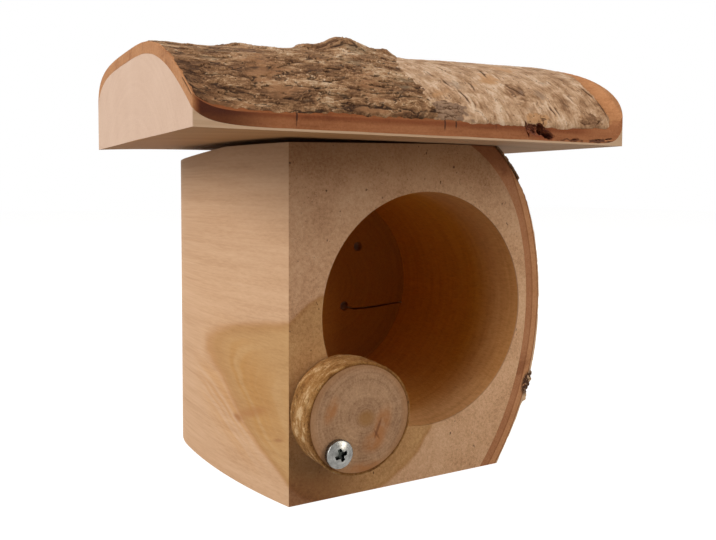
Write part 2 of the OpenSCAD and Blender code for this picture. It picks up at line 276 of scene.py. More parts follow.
(X0, Y0, ROOF_Z), (X1, Y1, _) = box_mm("roof_wood")
TOP_LIMIT = CAD_BOX[1][2] / MM - 0.05
RIDGE_V = 0.56
RIDGE_Y = mix(Y0, Y1, RIDGE_V)
INNER_T = 3.9
FRONT_H, FRONT_LEFT, FRONT_RIGHT, BACK_H = 4.6, 9.0, 11.0, 14.5
RIDGE_LEFT, RIDGE_RIGHT, CUP = 32.7, 37.0, 1.3
FLARE_LEFT, FLARE_RIGHT, FLARE_IN = 4.5, 2.5, 13.0
SEAM_X = -19.5
KNOT_Y = -36.5


def round_over(t, power):
    return np.maximum(0, 1 - np.clip(t, 0, 1) ** power) ** (1 / power)


def inner_top(x, y):
    """Height of the inner bark's top."""
    f = (RIDGE_Y - y) / (RIDGE_V * (Y1 - Y0))
    back = round_over(-f * RIDGE_V / (1 - RIDGE_V), 3.6)
    front = np.clip(f, 0, 1)
    left = np.where(f < 0, mix(BACK_H, RIDGE_LEFT, back),
                    mix(FRONT_LEFT, RIDGE_LEFT, np.cos(np.pi / 2 * front**1.4)))
    right = np.where(f < 0, mix(BACK_H, RIDGE_RIGHT, back),
                     mix(FRONT_RIGHT, RIDGE_RIGHT, round_over(front, 1.9)))
    w = (x - X0) / (X1 - X0)
    dip = (mix(FRONT_LEFT, FRONT_RIGHT, w) - FRONT_H) * (1 - np.exp(-(x - X0) / FLARE_LEFT))
    dip = dip * (1 - np.exp(-(X1 - x) / FLARE_RIGHT))
    return ROOF_Z + mix(left, right, w) - dip * np.exp(-(y - Y0) / FLARE_IN)


def under(x, y):
    """Height of the slab's cupped underside."""
    ends = 1 - np.abs(2 * (x - X0) / (X1 - X0) - 1) ** 4
    return ROOF_Z + CUP * (1 - (1 - (y - Y0) / (Y1 - Y0)) ** 6) * ends


def arc_grid(xs, shares):
    """Points on the inner bark's top for each x, at shares of the way round from its front edge to its back,
    and their distances round from the front."""
    y = mix(Y0, Y1, (1 - np.cos(np.linspace(0, np.pi, 900))) / 2)
    P, S = np.zeros((len(xs), len(shares), 3)), np.zeros((len(xs), len(shares)))
    for i, x in enumerate(xs):
        z = inner_top(x, y)
        run = np.concatenate([[0], np.cumsum(np.hypot(np.diff(y), np.diff(z)))])
        S[i] = shares * run[-1]
        P[i] = points(x, np.interp(S[i], run, y), np.interp(S[i], run, z))
    return P, S


def within(P):
    """Keep points of the roof inside the CAD part's box."""
    return points(np.clip(P[..., 0], X0, X1), np.clip(P[..., 1], Y0, Y1), np.minimum(P[..., 2], TOP_LIMIT))


def crowd_front(n):
    """Shares of the way round, closer together near the front edge."""
    t = np.linspace(0, 1, n)
    return 0.002 + 0.996 * (t + 0.45 * (t**2 - t))


def seam(S):
    """Where the rough bark gives way to the smooth bark: almost straight at the front, wandering beyond."""
    bend = 7 * ramp(S, 28, 50) + 9 * ramp(S, 46, 58) + (0.5 + 3 * ramp(S, 60, 80)) * noise(S / 22, 0.5, 401)
    return SEAM_X + bend + 1.1 * noise(S / 5, 3.5, 402)


def swelling(x, y):
    """Low bumps beside the knot, which both kinds of bark follow."""
    return (1.9 * hump(x, y, (-44.5, KNOT_Y), 4.5) + 1.9 * hump(x, y, (-20.5, KNOT_Y), 4.5)
            + 2.7 * hump(x, y, (-12.5, KNOT_Y), 5.5))


# ------------------------------------------------------------------ bark reliefs
# Each returns the height in mm, the darkness of the slits and painted shade from 0 to 1, and the tone with its
# painted highlights.


def steepness(v, x, s):
    dx = np.gradient(v, axis=0) / np.gradient(x, axis=0)
    return np.hypot(dx, np.gradient(v, axis=1) / np.gradient(s, axis=1)) + 1e-6


def flakes(v, x, s, riser):
    """Layers with flat tops: the height in whole steps, the distances in mm below and behind a step's edge,
    and the layer's number."""
    slope = steepness(v, x, s)
    k = np.floor(v)
    below, behind = (k + 1 - v) / slope, (v - k) / slope
    return k + 1 - ramp(below, 0, riser), below, behind, k.astype(np.int64)


def layer_tone(k, row, seed):
    """A tone of its own for each layer, from -0.5 to 0.5."""
    return cell_random(k, k * 0 + row, seed) - 0.5


def rough_relief(x, s, seed=0, fine=1.0):
    """Rough plates and slits, with painted shadow just below the flakes' edges and painted highlights just
    behind them. x runs along the grain.
    """
    px, ps = x * fine, s * fine
    wx = px + 3.0 * fbm(px / 13, ps / 7, 3, 11 + seed)
    ws = ps + 2.0 * fbm(px / 12 + 7, ps / 6, 3, 12 + seed)
    big, below, behind, k = flakes(2.7 * fbm(wx / 15, ws / 6.2, 4, 21 + seed), px, ps, 0.35)
    small, below2, behind2, k2 = flakes(2.6 * fbm(wx / 6.5 + 31, ws / 2.6 + 17, 3, 31 + seed), px, ps, 0.25)
    crest = fbm(wx / 17 + 3, ws / 4.3, 3, 41 + seed)
    slit = 1 - ramp(np.abs(crest) / steepness(crest, px, ps), 0.22, 0.6)
    slit = slit * ramp(noise(px / 8, ps / 3, 42 + seed), -0.05, 0.22)
    # Painted shadow just below each flake's edge; the larger one also dips the height there.
    foot_shade = (1 - ramp(below, 0.3, 1.05)) * ramp(noise(px / 5, ps / 2.2, 43 + seed), -0.45, 0.1)
    small_foot_shade = (1 - ramp(below2, 0.12, 0.5)) * ramp(noise(px / 3, ps / 1.5, 44 + seed), -0.1, 0.4)
    curl = np.exp(-behind / 0.7)
    cloud = fbm(px / 13, ps / 9.5, 3, 51 + seed)
    fibre = fbm(wx / 3.2, ws / 0.65, 3, 61 + seed)
    high = 1.0 + 0.42 * big + 0.15 * small + 0.14 * curl + 0.10 * fibre + 0.3 * cloud - 0.6 * slit - 0.2 * foot_shade
    deep = np.clip(most(0.95 * slit, 0.85 * foot_shade, 0.5 * small_foot_shade), 0, 1)
    shade = ramp(fbm(wx / 9 + 50, ws / 3.5, 3, 62 + seed), 0.1, 0.4)
    # The exp(-behind) terms are painted highlights along the flakes' edges.
    tone = (0.50 - 0.2 * shade + 0.34 * layer_tone(k, 3, 71) + 0.20 * layer_tone(k2, 5, 72) + 0.45 * cloud
            + 0.32 * fibre + 0.22 * np.exp(-behind / 0.35) + 0.12 * np.exp(-behind2 / 0.25))
    return high, deep, tone


def smooth_relief(x, s, seed=0):
    """Smooth bark with mottling, dots and dashes, painted shade just below the flakes' edges and painted
    highlights just behind them. The fine grain runs round the log.
    """
    u = x + 0.05 * s + 1.3 * fbm(x / 9, s / 9, 3, 111 + seed)
    w = s + 1.3 * fbm(x / 9 + 5, s / 9, 3, 112 + seed)
    grain = fbm(u / 0.9, w / 4.5, 4, 121 + seed)
    mottle = fbm(u / 4.5, w / 5.5, 4, 131 + seed)
    cloud = fbm(x / 14, s / 14, 3, 132 + seed)
    step, below, behind, k = flakes(2.0 * fbm(u / 6.5, w / 11, 4, 141 + seed), x, s, 0.25)
    # Painted shade just below each flake's edge, here and there.
    edge = (1 - ramp(below, 0.15, 0.6)) * ramp(noise(u / 4, w / 5, 151 + seed), -0.2, 0.25)
    dots = ramp(noise(x / 0.85, s / 1.0, 161 + seed), 0.35, 0.65)
    dots = dots * ramp(noise(x / 6, s / 6, 162 + seed), -0.2, 0.4)
    dash = ramp(fbm(u / 0.9, w / 3.2, 2, 171 + seed), 0.17, 0.32)
    dash = dash * ramp(noise(x / 6, s / 6, 172 + seed), -0.15, 0.35)
    high = (0.40 + 0.10 * step + 0.07 * np.exp(-behind / 0.5) + 0.07 * grain + 0.14 * mottle
            - 0.12 * dash - 0.08 * dots)
    deep = np.clip(most(0.75 * edge, 0.7 * dots, 0.62 * dash), 0, 1)
    # The exp(-behind) term is a painted highlight just behind each flake's edge.
    tone = (0.60 + 0.62 * mottle + 0.40 * grain + 0.45 * cloud + 0.24 * layer_tone(k, 2, 181)
            + 0.12 * np.exp(-behind / 0.4))
    return high, deep, tone


# ------------------------------------------------------------------ the roof

ROUGH_SUNK, SMOOTH_SUNK = 0.8, 0.7


def rough_piece(mats):
    """The rough bark over the roof's left two thirds, with the knot."""
    xs = np.linspace(X0 + 0.15, SEAM_X + 22, steps(320))
    P, S = arc_grid(xs, crowd_front(steps(290)))
    x, y = P[..., 0], P[..., 1]
    high, deep, tone = rough_relief(x, S)
    knot = hump(x, y, (-30.2, KNOT_Y), 8.5)
    high = 0.2 + 0.85 * high + 6.0 * knot + 1.4 * hump(x, y, (-69.7, -34.5), 7.0) + swelling(x, y)
    high = np.clip(high - 1.5 * hump(x, y, (-80, -40), 9.0) - 0.5 * ramp(x, -58, -72), 0.1, 9)
    # Ragged edges: how far each point lies inside the piece's outline
    e_left = x - X0 - 0.4 - 0.5 * (1 + noise(S / 6, 0.5, 301)) - 0.4 * noise(S / 1.7, 1.5, 302)
    e_front = S - 0.5 - 0.8 * (1 + noise(x / 7, 0.5, 303)) - 0.7 * noise(x / 2.1, 2.5, 304)
    e_back = S[:, -1:] - S - 1.0 - 0.9 * (1 + noise(x / 8, 4.5, 305)) - 0.6 * noise(x / 2.3, 5.5, 306)
    edge = least(e_left, e_front, e_back, 0.8 * (seam(S) - x))
    thin = ramp(edge, 0.0, 0.5) * mix(0.55, 1.0, ramp(edge, 0.5, 6))
    high = np.where(edge > 0, high * thin, -0.45 * ramp(-edge, 0, 0.6))
    # Painted shade along the ragged edges, where the bark steps down.
    deep = np.maximum(deep, 0.45 * (1 - ramp(edge, 0.0, 0.4)))
    dark_end = 0.16 * ramp(x, -35, -80) * ramp(S, 45, 15)
    tone = 0.51 + 1.25 * (tone - 0.5) - dark_end
    tint = 0.5 + 0.75 * fbm(x / 16, S / 9, 3, 311) + 0.35 * fbm(x / 4, S / 2, 2, 312) + dark_end
    bottom = raised(arc_grid(xs, crowd_front(26))[0], -ROUGH_SUNK)
    return shell("roof_bark_rough", within(raised(P, high)), within(bottom), (tone, deep, tint), mats)


# Drying cracks and scars that run round the log: where each starts and ends, as x and the distance round from
# the front edge, then its width and depth. The two of END_CRACK also show in the inner bark.
END_CRACK = [(54.6, 24.1, 55.9, 14.2, 0.5, 1.0), (55.9, 14.2, 57.4, 4.4, 0.65, 1.0)]
STREAKS = [
    (17.2, 38.7, 13.9, 26.6, 0.55, 0.8), (-5.0, 16.7, -3.8, 8.0, 0.5, 0.85),
    (2.5, 23.2, 2.0, 15.0, 0.45, 0.7), (-7.6, 23.7, -7.1, 16.9, 0.45, 0.75),
    (-1.5, 38.1, -1.3, 28.9, 0.5, 0.6), (30.7, 10.3, 31.6, 4.6, 0.45, 0.8),
    (32.6, 10.4, 33.5, 4.8, 0.4, 0.7), (43.3, 17.4, 44.5, 12.1, 0.5, 0.6),
    (-2.0, 12.8, -2.6, 5.0, 0.45, 0.5), *END_CRACK, (20.7, 32.4, 18.8, 24.5, 0.45, 0.5),
    (17.4, 22.6, 22.8, 14.2, 0.6, 0.75), (19.4, 12.6, 24.2, 12.0, 0.5, 0.45),
    (41.0, 28.0, 41.6, 20.0, 0.4, 0.5), (-10.6, 31.0, -9.8, 24.0, 0.45, 0.6),
    (16.0, 60.0, 20.0, 44.0, 0.5, 0.4), (-4.0, 72.0, -1.0, 58.0, 0.5, 0.5),
    (34.0, 74.0, 35.0, 60.0, 0.5, 0.5), (6.0, 98.0, 7.0, 82.0, 0.6, 0.6),
    (28.0, 112.0, 30.0, 95.0, 0.5, 0.5), (45.0, 101.0, 46.0, 90.0, 0.5, 0.6),
    (14.0, 132.0, 15.0, 121.0, 0.5, 0.5),
]
# Orange (more than 0) and grey stains: middle and radii as x and distance round, then the amount
STAINS = [(14.0, 27.0, 4.5, 5.5, 0.5), (30.0, 43.0, 5.0, 8.0, 0.4), (37.0, 70.0, 8.0, 9.0, 0.3),
          (31.0, 15.5, 3.2, 4.5, -0.5), (-3.0, 20.0, 4.0, 4.0, -0.25)]


def smooth_piece(mats):
    """The smoother bark over the roof's right third."""
    xs = np.linspace(SEAM_X - 7, X1 - 0.15, steps(270))
    P, S = arc_grid(xs, crowd_front(steps(290)))
    x = P[..., 0]
    high, deep, tone = smooth_relief(x, S)
    tint = 0.5 + 0.55 * fbm(x / 9, S / 9, 3, 321) + 0.3 * fbm(x / 3, S / 3, 2, 322)
    for ax, sa, bx, sb, w, d in STREAKS:
        dist, along = line_dist(x + 0.35 * noise(S / 2.5, ax, 331), S, ax, sa, bx, sb)
        w, d = 1.5 * w, min(1, 1.25 * d)
        hit = (1 - ramp(dist, w * 0.3, w)) * np.sin(np.pi * np.clip(along * 0.94 + 0.03, 0, 1)) ** 0.6
        high = high - 0.35 * d * hit
        deep = np.maximum(deep, d * hit)
        tone = tone + 0.18 * (ramp(dist, w, w * 1.6) - ramp(dist, w * 1.6, w * 3))
    # A sunken brown scar, and the stains
    scar = ramp(oval(x, S, 20.2, 18.4, 4.6, 4.4) + 0.2 * noise(x / 2, S / 2, 340), 0.35, 0.6)
    high, tone, tint = high - 0.15 * scar, tone - 0.44 * scar, tint - 0.2 * scar
    for *place, amount in STAINS:
        tint = tint + amount * oval(x, S, *place)
    tone = tone - 0.13 * ramp(S, 24, 9) - 0.08 * ramp(x, 28, 46)
    tone = tone - 0.16 * oval(x, S, 31, 15.5, 3.2, 4.5) + 0.1 * oval(x, S, 8, 12, 7, 6)
    # Rough remnants: beside the seam, at the right front corner, and the lip over the dead knot
    rough_high, rough_deep, rough_tone = rough_relief(x, S, seed=500, fine=1.35)
    ragged = 0.45 * noise(x / 2.4, S / 2, 341)
    beside = ramp(oval(x, S, -14.5, 4.6, 8.5, 5.2) + ragged, 0.35, 0.6)
    corner = ramp(oval(x, S, 48.0, 4.3, 6.5, 2.8) + ragged, 0.4, 0.62)
    lip = ramp(oval(x, S, 22.4, 3.6, 6.2, 2.7) + 0.6 * ragged, 0.35, 0.6)
    left = most(beside, corner, lip)
    high = high + left * 0.5 * (rough_high - 0.6)
    deep = mix(deep, np.maximum(deep, rough_deep), left)
    tone = mix(tone, rough_tone - 0.30 * beside - 0.22 * corner + 0.02 * lip, left)
    tint = tint - 0.5 * beside + 0.5 * lip
    # Ragged edges
    e_right = X1 - x - mix(2.0, 6.6, 1 - ramp(S, 20, 40))
    e_right = e_right - 0.5 * noise(S / 5, 0.5, 351) - 0.4 * noise(S / 1.6, 1.5, 352)
    e_front = S - 0.35 - 0.9 * ramp(x, 34, 50) - 0.9 * ramp(x, -4, -16)
    e_front = e_front - 0.3 * (1 + noise(x / 6, 0.5, 353)) - 0.4 * noise(x / 2, 2.5, 354)
    e_back = S[:, -1:] - S - 1.0 - 0.8 * (1 + noise(x / 8, 4.5, 355))
    edge = least(e_right, e_front, x - seam(S) + 1.6, e_back)
    high = np.clip(high, 0.05, 1.1) + 0.8 * swelling(x, P[..., 1]) + 0.4 * ramp(x, -5, 10) * ramp(S, 40, 56)
    high = np.where(edge > 0, high * ramp(edge, -0.2, 0.4), -0.4 * ramp(-edge, 0, 0.5))
    bottom = raised(arc_grid(xs, crowd_front(26))[0], -SMOOTH_SUNK)
    return shell("roof_bark_smooth", within(raised(P, high)), within(bottom), (tone, deep, tint), mats)


def roof_core(mats_inner, mats_wood):
    """The roof's inner bark and its wood, with columns closer together near the two ends."""
    t = np.linspace(0, 1, steps(180))
    xs = mix(X0, X1, t - 0.3 * np.sin(2 * np.pi * t) / (2 * np.pi))
    t = np.linspace(0, 1, steps(150))
    outer, S = arc_grid(xs, t + 0.3 * (t**2 - t))
    x, y, z = outer[..., 0], outer[..., 1], outer[..., 2]
    thick = INNER_T * (1 + 0.05 * fbm(x / 14, S / 14, 2, 361))
    wood = points(x, y, np.maximum(z - thick, under(x, y) + 0.5))
    skin = (0.10 * fbm(x / 5, S / 2, 3, 362) - 0.1) * ramp(S, 0, 2)
    for *line, _, _ in END_CRACK:
        skin = skin - 0.7 * (1 - ramp(line_dist(x, S, *line)[0], 0.2, 1.0))
    bark = ring_solid("roof_bark_inner", within(raised(outer, skin)), wood, 7, mats_inner)
    low_y = np.linspace(Y0, Y1, outer.shape[1])
    return bark, ring_solid("roof_slab_wood", wood, points(x, low_y, under(x, low_y)), 14, mats_wood)


# ------------------------------------------------------------------ bark side of the block

(_, BLOCK_Y0, _), (_, BLOCK_Y1, _) = box_mm("block_wood")
FRONT_EDGE_X, BASE_W, TOP_W, TOP_Z = -56.7, 91.0, 88.5, 126.45
BARK_R, BARK_MID_Z, CROWN_START = 116.0, 66.3, 96.0
OUTER_T, PATCH_T = 2.0, 0.8
BARK_MID = np.array([FRONT_EDGE_X + BASE_W - math.sqrt(BARK_R**2 - BARK_MID_Z**2), BARK_MID_Z])
crown_a = math.asin((CROWN_START - BARK_MID_Z) / BARK_R)
way = np.array([math.cos(crown_a), math.sin(crown_a)])
chord = np.array([FRONT_EDGE_X + TOP_W, TOP_Z]) - BARK_MID - BARK_R * way
CROWN_R = -(chord @ chord) / (2 * (chord @ way))
CROWN_MID = BARK_MID + (BARK_R - CROWN_R) * way


def log_side(z, inset):
    """Place in x of the log's outline at height z."""
    r, c = BARK_R - inset, CROWN_R - inset
    big = BARK_MID[0] + np.sqrt(np.maximum(r**2 - (z - BARK_MID_Z) ** 2, 0))
    crown = CROWN_MID[0] + np.sqrt(np.maximum(c**2 - (z - CROWN_MID[1]) ** 2, 0))
    return np.where(z > BARK_MID_Z + r * way[1], crown, big)


def side_grid(ys, zs, inset=0.0):
    """Points of the log's side: columns along y, rows up the side at heights zs."""
    return points(log_side(zs, inset)[None, :], ys[:, None], zs[None, :])


def even_heights(z0, z1, n):
    """Heights at even distances along the log's side, and those distances."""
    z = np.linspace(z0, z1, 600)
    run = np.concatenate([[0], np.cumsum(np.hypot(np.diff(z), np.diff(log_side(z, 0.0))))])
    return np.interp(np.linspace(0, run[-1], n), run, z), np.linspace(0, run[-1], n)


def block_bark(mats):
    """The smoother bark of the block's side. Its sawn faces take the second material."""
    ys = np.linspace(BLOCK_Y0, BLOCK_Y1, steps(170))
    zs, s = even_heights(0.0, TOP_Z, steps(250))
    P = side_grid(ys, zs)
    z = P[..., 2]
    Y, S = np.broadcast_arrays(ys[:, None], s[None, :])
    high, deep, tone = smooth_relief(Y, S, seed=700)
    tint = 0.5 + 0.8 * fbm(Y / 17, S / 15, 3, 721) + 0.3 * fbm(Y / 4, S / 4, 2, 722)
    rough_high, rough_deep, rough_tone = rough_relief(Y, S, seed=740, fine=1.6)
    patch = np.maximum(ramp(hump(Y, z, (-49, 28), 9.0) + 0.4 * noise(Y / 3, S / 3, 741), 0.4, 0.7),
                       ramp(hump(Y, z, (30, 82), 15.0) + 0.5 * noise(Y / 4, S / 4, 742), 0.5, 0.8))
    relief = np.clip(high - 0.9 + patch * 0.3 * rough_high, -0.8, 0.0)
    flake = ramp(hump(Y, z, (BLOCK_Y0, 29.0), 7.0) + 0.25 * noise(Y / 1.6, S / 1.6, 743), 0.4, 0.6)
    relief = relief + 0.5 * hump(z, 0, (38.0, 0), 16.0) + 0.7 * flake * (0.5 + rough_high)
    patch = np.maximum(patch, flake)
    deep = mix(deep, np.maximum(deep, rough_deep), patch)
    tone = mix(tone, rough_tone - 0.2 - 0.25 * flake, patch)
    tint = mix(tint, 0.15, patch * 0.7)
    top = raised(P, relief)
    top[0, :, 1], top[-1, :, 1] = BLOCK_Y0, BLOCK_Y1
    top[:, 0, 2], top[:, -1, 2] = 0.0, TOP_Z
    low = side_grid(ys, np.linspace(0, TOP_Z, 60), OUTER_T)
    o = shell("block_bark_outer", top, low, (tone, deep, tint), mats)
    index = np.zeros(len(o.data.polygons), np.int32)
    index[(len(ys) - 1) * (len(zs) - 1 + low.shape[1] - 1):] = 1
    o.data.polygons.foreach_set("material_index", index)
    return o


def block_patch(mats):
    """Rough bark left on at the top of the block's bark side."""
    lo, hi = box_mm("block_rough_bark")
    ys = np.linspace(lo[1], hi[1] - 0.5, steps(150))
    zs, s = even_heights(lo[2], TOP_Z - 0.1, steps(92))
    Y, S = np.broadcast_arrays(ys[:, None], s[None, :])
    high, deep, tone = rough_relief(Y, S, seed=800)
    e_low = S - 4.0 - 2.0 * (1 + noise(Y / 6, 0.5, 821)) - 1.4 * noise(Y / 2, 1.5, 822)
    e_back = hi[1] - 3 - Y - 2.5 * (1 + noise(S / 6, 0.5, 823)) - 1.0 * noise(S / 2, 1.5, 824)
    edge = least(e_low, e_back, 2.2 * noise(Y / 7, S / 2.6, 825) + 1.6)
    high = np.where(edge > 0, np.clip(0.5 * high, 0.05, PATCH_T) * ramp(edge, -0.2, 0.7), -0.86)
    # Painted shade along the ragged edges, where the patch steps down.
    deep = np.maximum(deep, 0.6 * (1 - ramp(edge, 0.0, 0.5)))
    tint = 0.45 + 0.7 * fbm(Y / 16, S / 12, 3, 831)
    low = side_grid(ys, np.linspace(lo[2], TOP_Z - 0.1, 24), 0.9)
    return shell("block_bark_rough", raised(side_grid(ys, zs), high), low, (tone - 0.12, deep, tint), mats)


# ------------------------------------------------------------------ the branch slice and the screws

SCREW_X, SCREW_Z = -45.3, 21.5
SLICE_R, SLICE_BARK = 20.1, 1.5
OFF_CENTRE, OFF_ANGLE = 13.5, math.radians(50)
SLICE_X, SLICE_Z = SCREW_X + OFF_CENTRE * math.cos(OFF_ANGLE), SCREW_Z + OFF_CENTRE * math.sin(OFF_ANGLE)
CUT_RING = (0.2, 0.6, 0.8)


def slice_bark(mats):
    """The ring of bark round the slice: its relief outside, with painted shade below its flakes' edges and
    painted highlights behind them, and the sawn ring where it meets the wood.
    """
    lo, hi = box_mm("disc_bark")
    na, nv = steps(440), 46
    a = np.linspace(0, 2 * np.pi, na, endpoint=False)

    def tube(ys, depth):
        A, Y = np.broadcast_arrays(a[:, None], ys[None, :])
        r = SLICE_R * (1 + 0.012 * np.cos(2 * A + math.radians(20)) + 0.008 * np.cos(3 * A - math.radians(30)))
        r = r + depth
        return points(SLICE_X + r * np.cos(A), Y, SLICE_Z + r * np.sin(A))

    ys = np.linspace(lo[1], hi[1], nv)
    A, Y = np.broadcast_arrays(a[:, None], ys[None, :])
    u = A / (2 * np.pi)
    bend = 0.5 * fbm(u * 9, Y / 6, 2, 901, wrap=9)
    layer, below, behind, k = flakes(2.3 * fbm(u * 18, Y / 3.2 + bend, 3, 902, wrap=18), A * SLICE_R, Y, 0.3)
    wrinkle = fbm(u * 30, Y / 1.6 + bend, 3, 911, wrap=30)
    fine = fbm(u * 90, Y / 0.9, 3, 921, wrap=90)
    cloud = fbm(u * 8, Y / 8, 3, 931, wrap=8)
    peel = ramp(fbm(u * 16, Y / 4 + bend, 2, 941, wrap=16), 0.05, 0.3)
    peel = peel * (0.35 + 0.65 * np.exp(-((A - 3.3) / 0.8) ** 2))
    relief = np.clip(-0.3 + 0.14 * layer + 0.12 * wrinkle + 0.05 * fine + 0.15 * cloud + 0.1 * peel, -0.9, 0.2)
    rounding = 0.35 * np.exp(-np.minimum(Y - ys[0], ys[-1] - Y) / 0.25)
    inside = 0.02 - SLICE_BARK + 0.07 * fbm(a[:, None] / (2 * np.pi) * 40, 0.5, 3, 941, wrap=40)
    grid = np.concatenate([tube(ys, relief - rounding), tube(np.linspace(ys[-1], ys[0], 4), inside)], 1)
    i, j = np.arange(na)[:, None], np.arange(nv + 4)[None, :]
    i2, j2 = (i + 1) % na, (j + 1) % (nv + 4)
    rows = nv + 4
    faces = np.stack([i * rows + j, i * rows + j2, i2 * rows + j2, i2 * rows + j], -1).reshape(-1, 4).tolist()
    # The exp(-behind) term is a painted highlight just behind each flake's edge.
    tone = (0.5 + 0.22 * layer_tone(k, 4, 951) + 0.35 * wrinkle + 0.25 * fine + 0.35 * cloud + 0.34 * peel
            + 0.15 * np.exp(-behind / 0.4))
    # Painted shade just below the flakes' edges, here and there.
    here = ramp(noise(u * 12, Y / 3, 961, wrap=12), -0.05, 0.35)
    deep = np.clip(0.8 * (1 - ramp(below, 0.12, 0.5)) * here, 0, 1)
    tint = 0.5 + 0.5 * fbm(u * 12, Y / 6, 2, 971, wrap=12)
    bark = np.concatenate([points(tone, deep, tint), np.broadcast_to(CUT_RING, (na, 4, 3))], 1)
    return make_object("disc_bark_skin", grid, faces, mats, 60, bark)


RECESS_DEPTH, RECESS_HALF_W, RECESS_REACH = 1.75, (0.45, 0.72), (1.75, 2.4)


def screw(name, at, head_r, head_h, dome, shank_r, length, turn, countersunk, mats):
    """A screw with a cross recess. at is the middle of its head's underside. The pan head points to -Y, and a
    countersunk one up."""
    a = np.linspace(0, 2 * np.pi, 128, endpoint=False)
    rho = np.concatenate([np.linspace(0.02, 3.3, 46), np.linspace(3.4, head_r - 0.45, 7)])
    R, A = np.broadcast_arrays(rho[:, None], a[None, :])
    X, Y = np.abs(R * np.cos(A - turn)), np.abs(R * np.sin(A - turn))
    along, across = np.maximum(X, Y), np.minimum(X, Y)
    recess = (1 - ramp(across, *RECESS_HALF_W)) * (1 - ramp(along, *RECESS_REACH))
    recess = np.maximum(recess, 1 - ramp(R, 0.8, 1.4))
    height = head_h - dome * (R / head_r) ** 2 - RECESS_DEPTH * recess * (1 - 0.10 * along)
    edge = head_h - dome
    if countersunk:
        outline = [(head_r - 0.2, edge), (head_r, edge - 0.15), (head_r, edge - 0.5),
                   (shank_r, edge - 0.5 - (head_r - shank_r))]
    else:
        outline = [(head_r - 0.2, edge + dome * 0.10), (head_r - 0.06, edge - 0.08), (head_r, edge - 0.3),
                   (head_r, 0.12), (head_r - 0.1, 0.0), (shank_r, 0.0)]
    rings = [points(R * np.cos(A), R * np.sin(A), height)]
    for r, h in outline + [(shank_r, -length + 2 * shank_r), (0.02, -length)]:
        rings.append(points(r * np.cos(a), r * np.sin(a), h)[None])
    P = np.concatenate(rings)
    n, size = P.shape[:2]
    last = (n - 1) * size
    faces = quads(n, size, close_v=True) + [list(range(size)), list(range(last, last + size))[::-1]]
    x, y, z = P[..., 0], P[..., 1], P[..., 2]
    P = points(x, y, z) if countersunk else points(x, -z, y)
    return make_object(name, np.array(at) + P, faces, mats, 50)


# ------------------------------------------------------------------ materials


def srgb(*rgb):
    """A colour written as 0 to 255, in the linear values that nodes take."""
    return (*(v / 3294.6 if v <= 10.31475 else ((v / 255 + 0.055) / 1.055) ** 2.4 for v in rgb), 1.0)


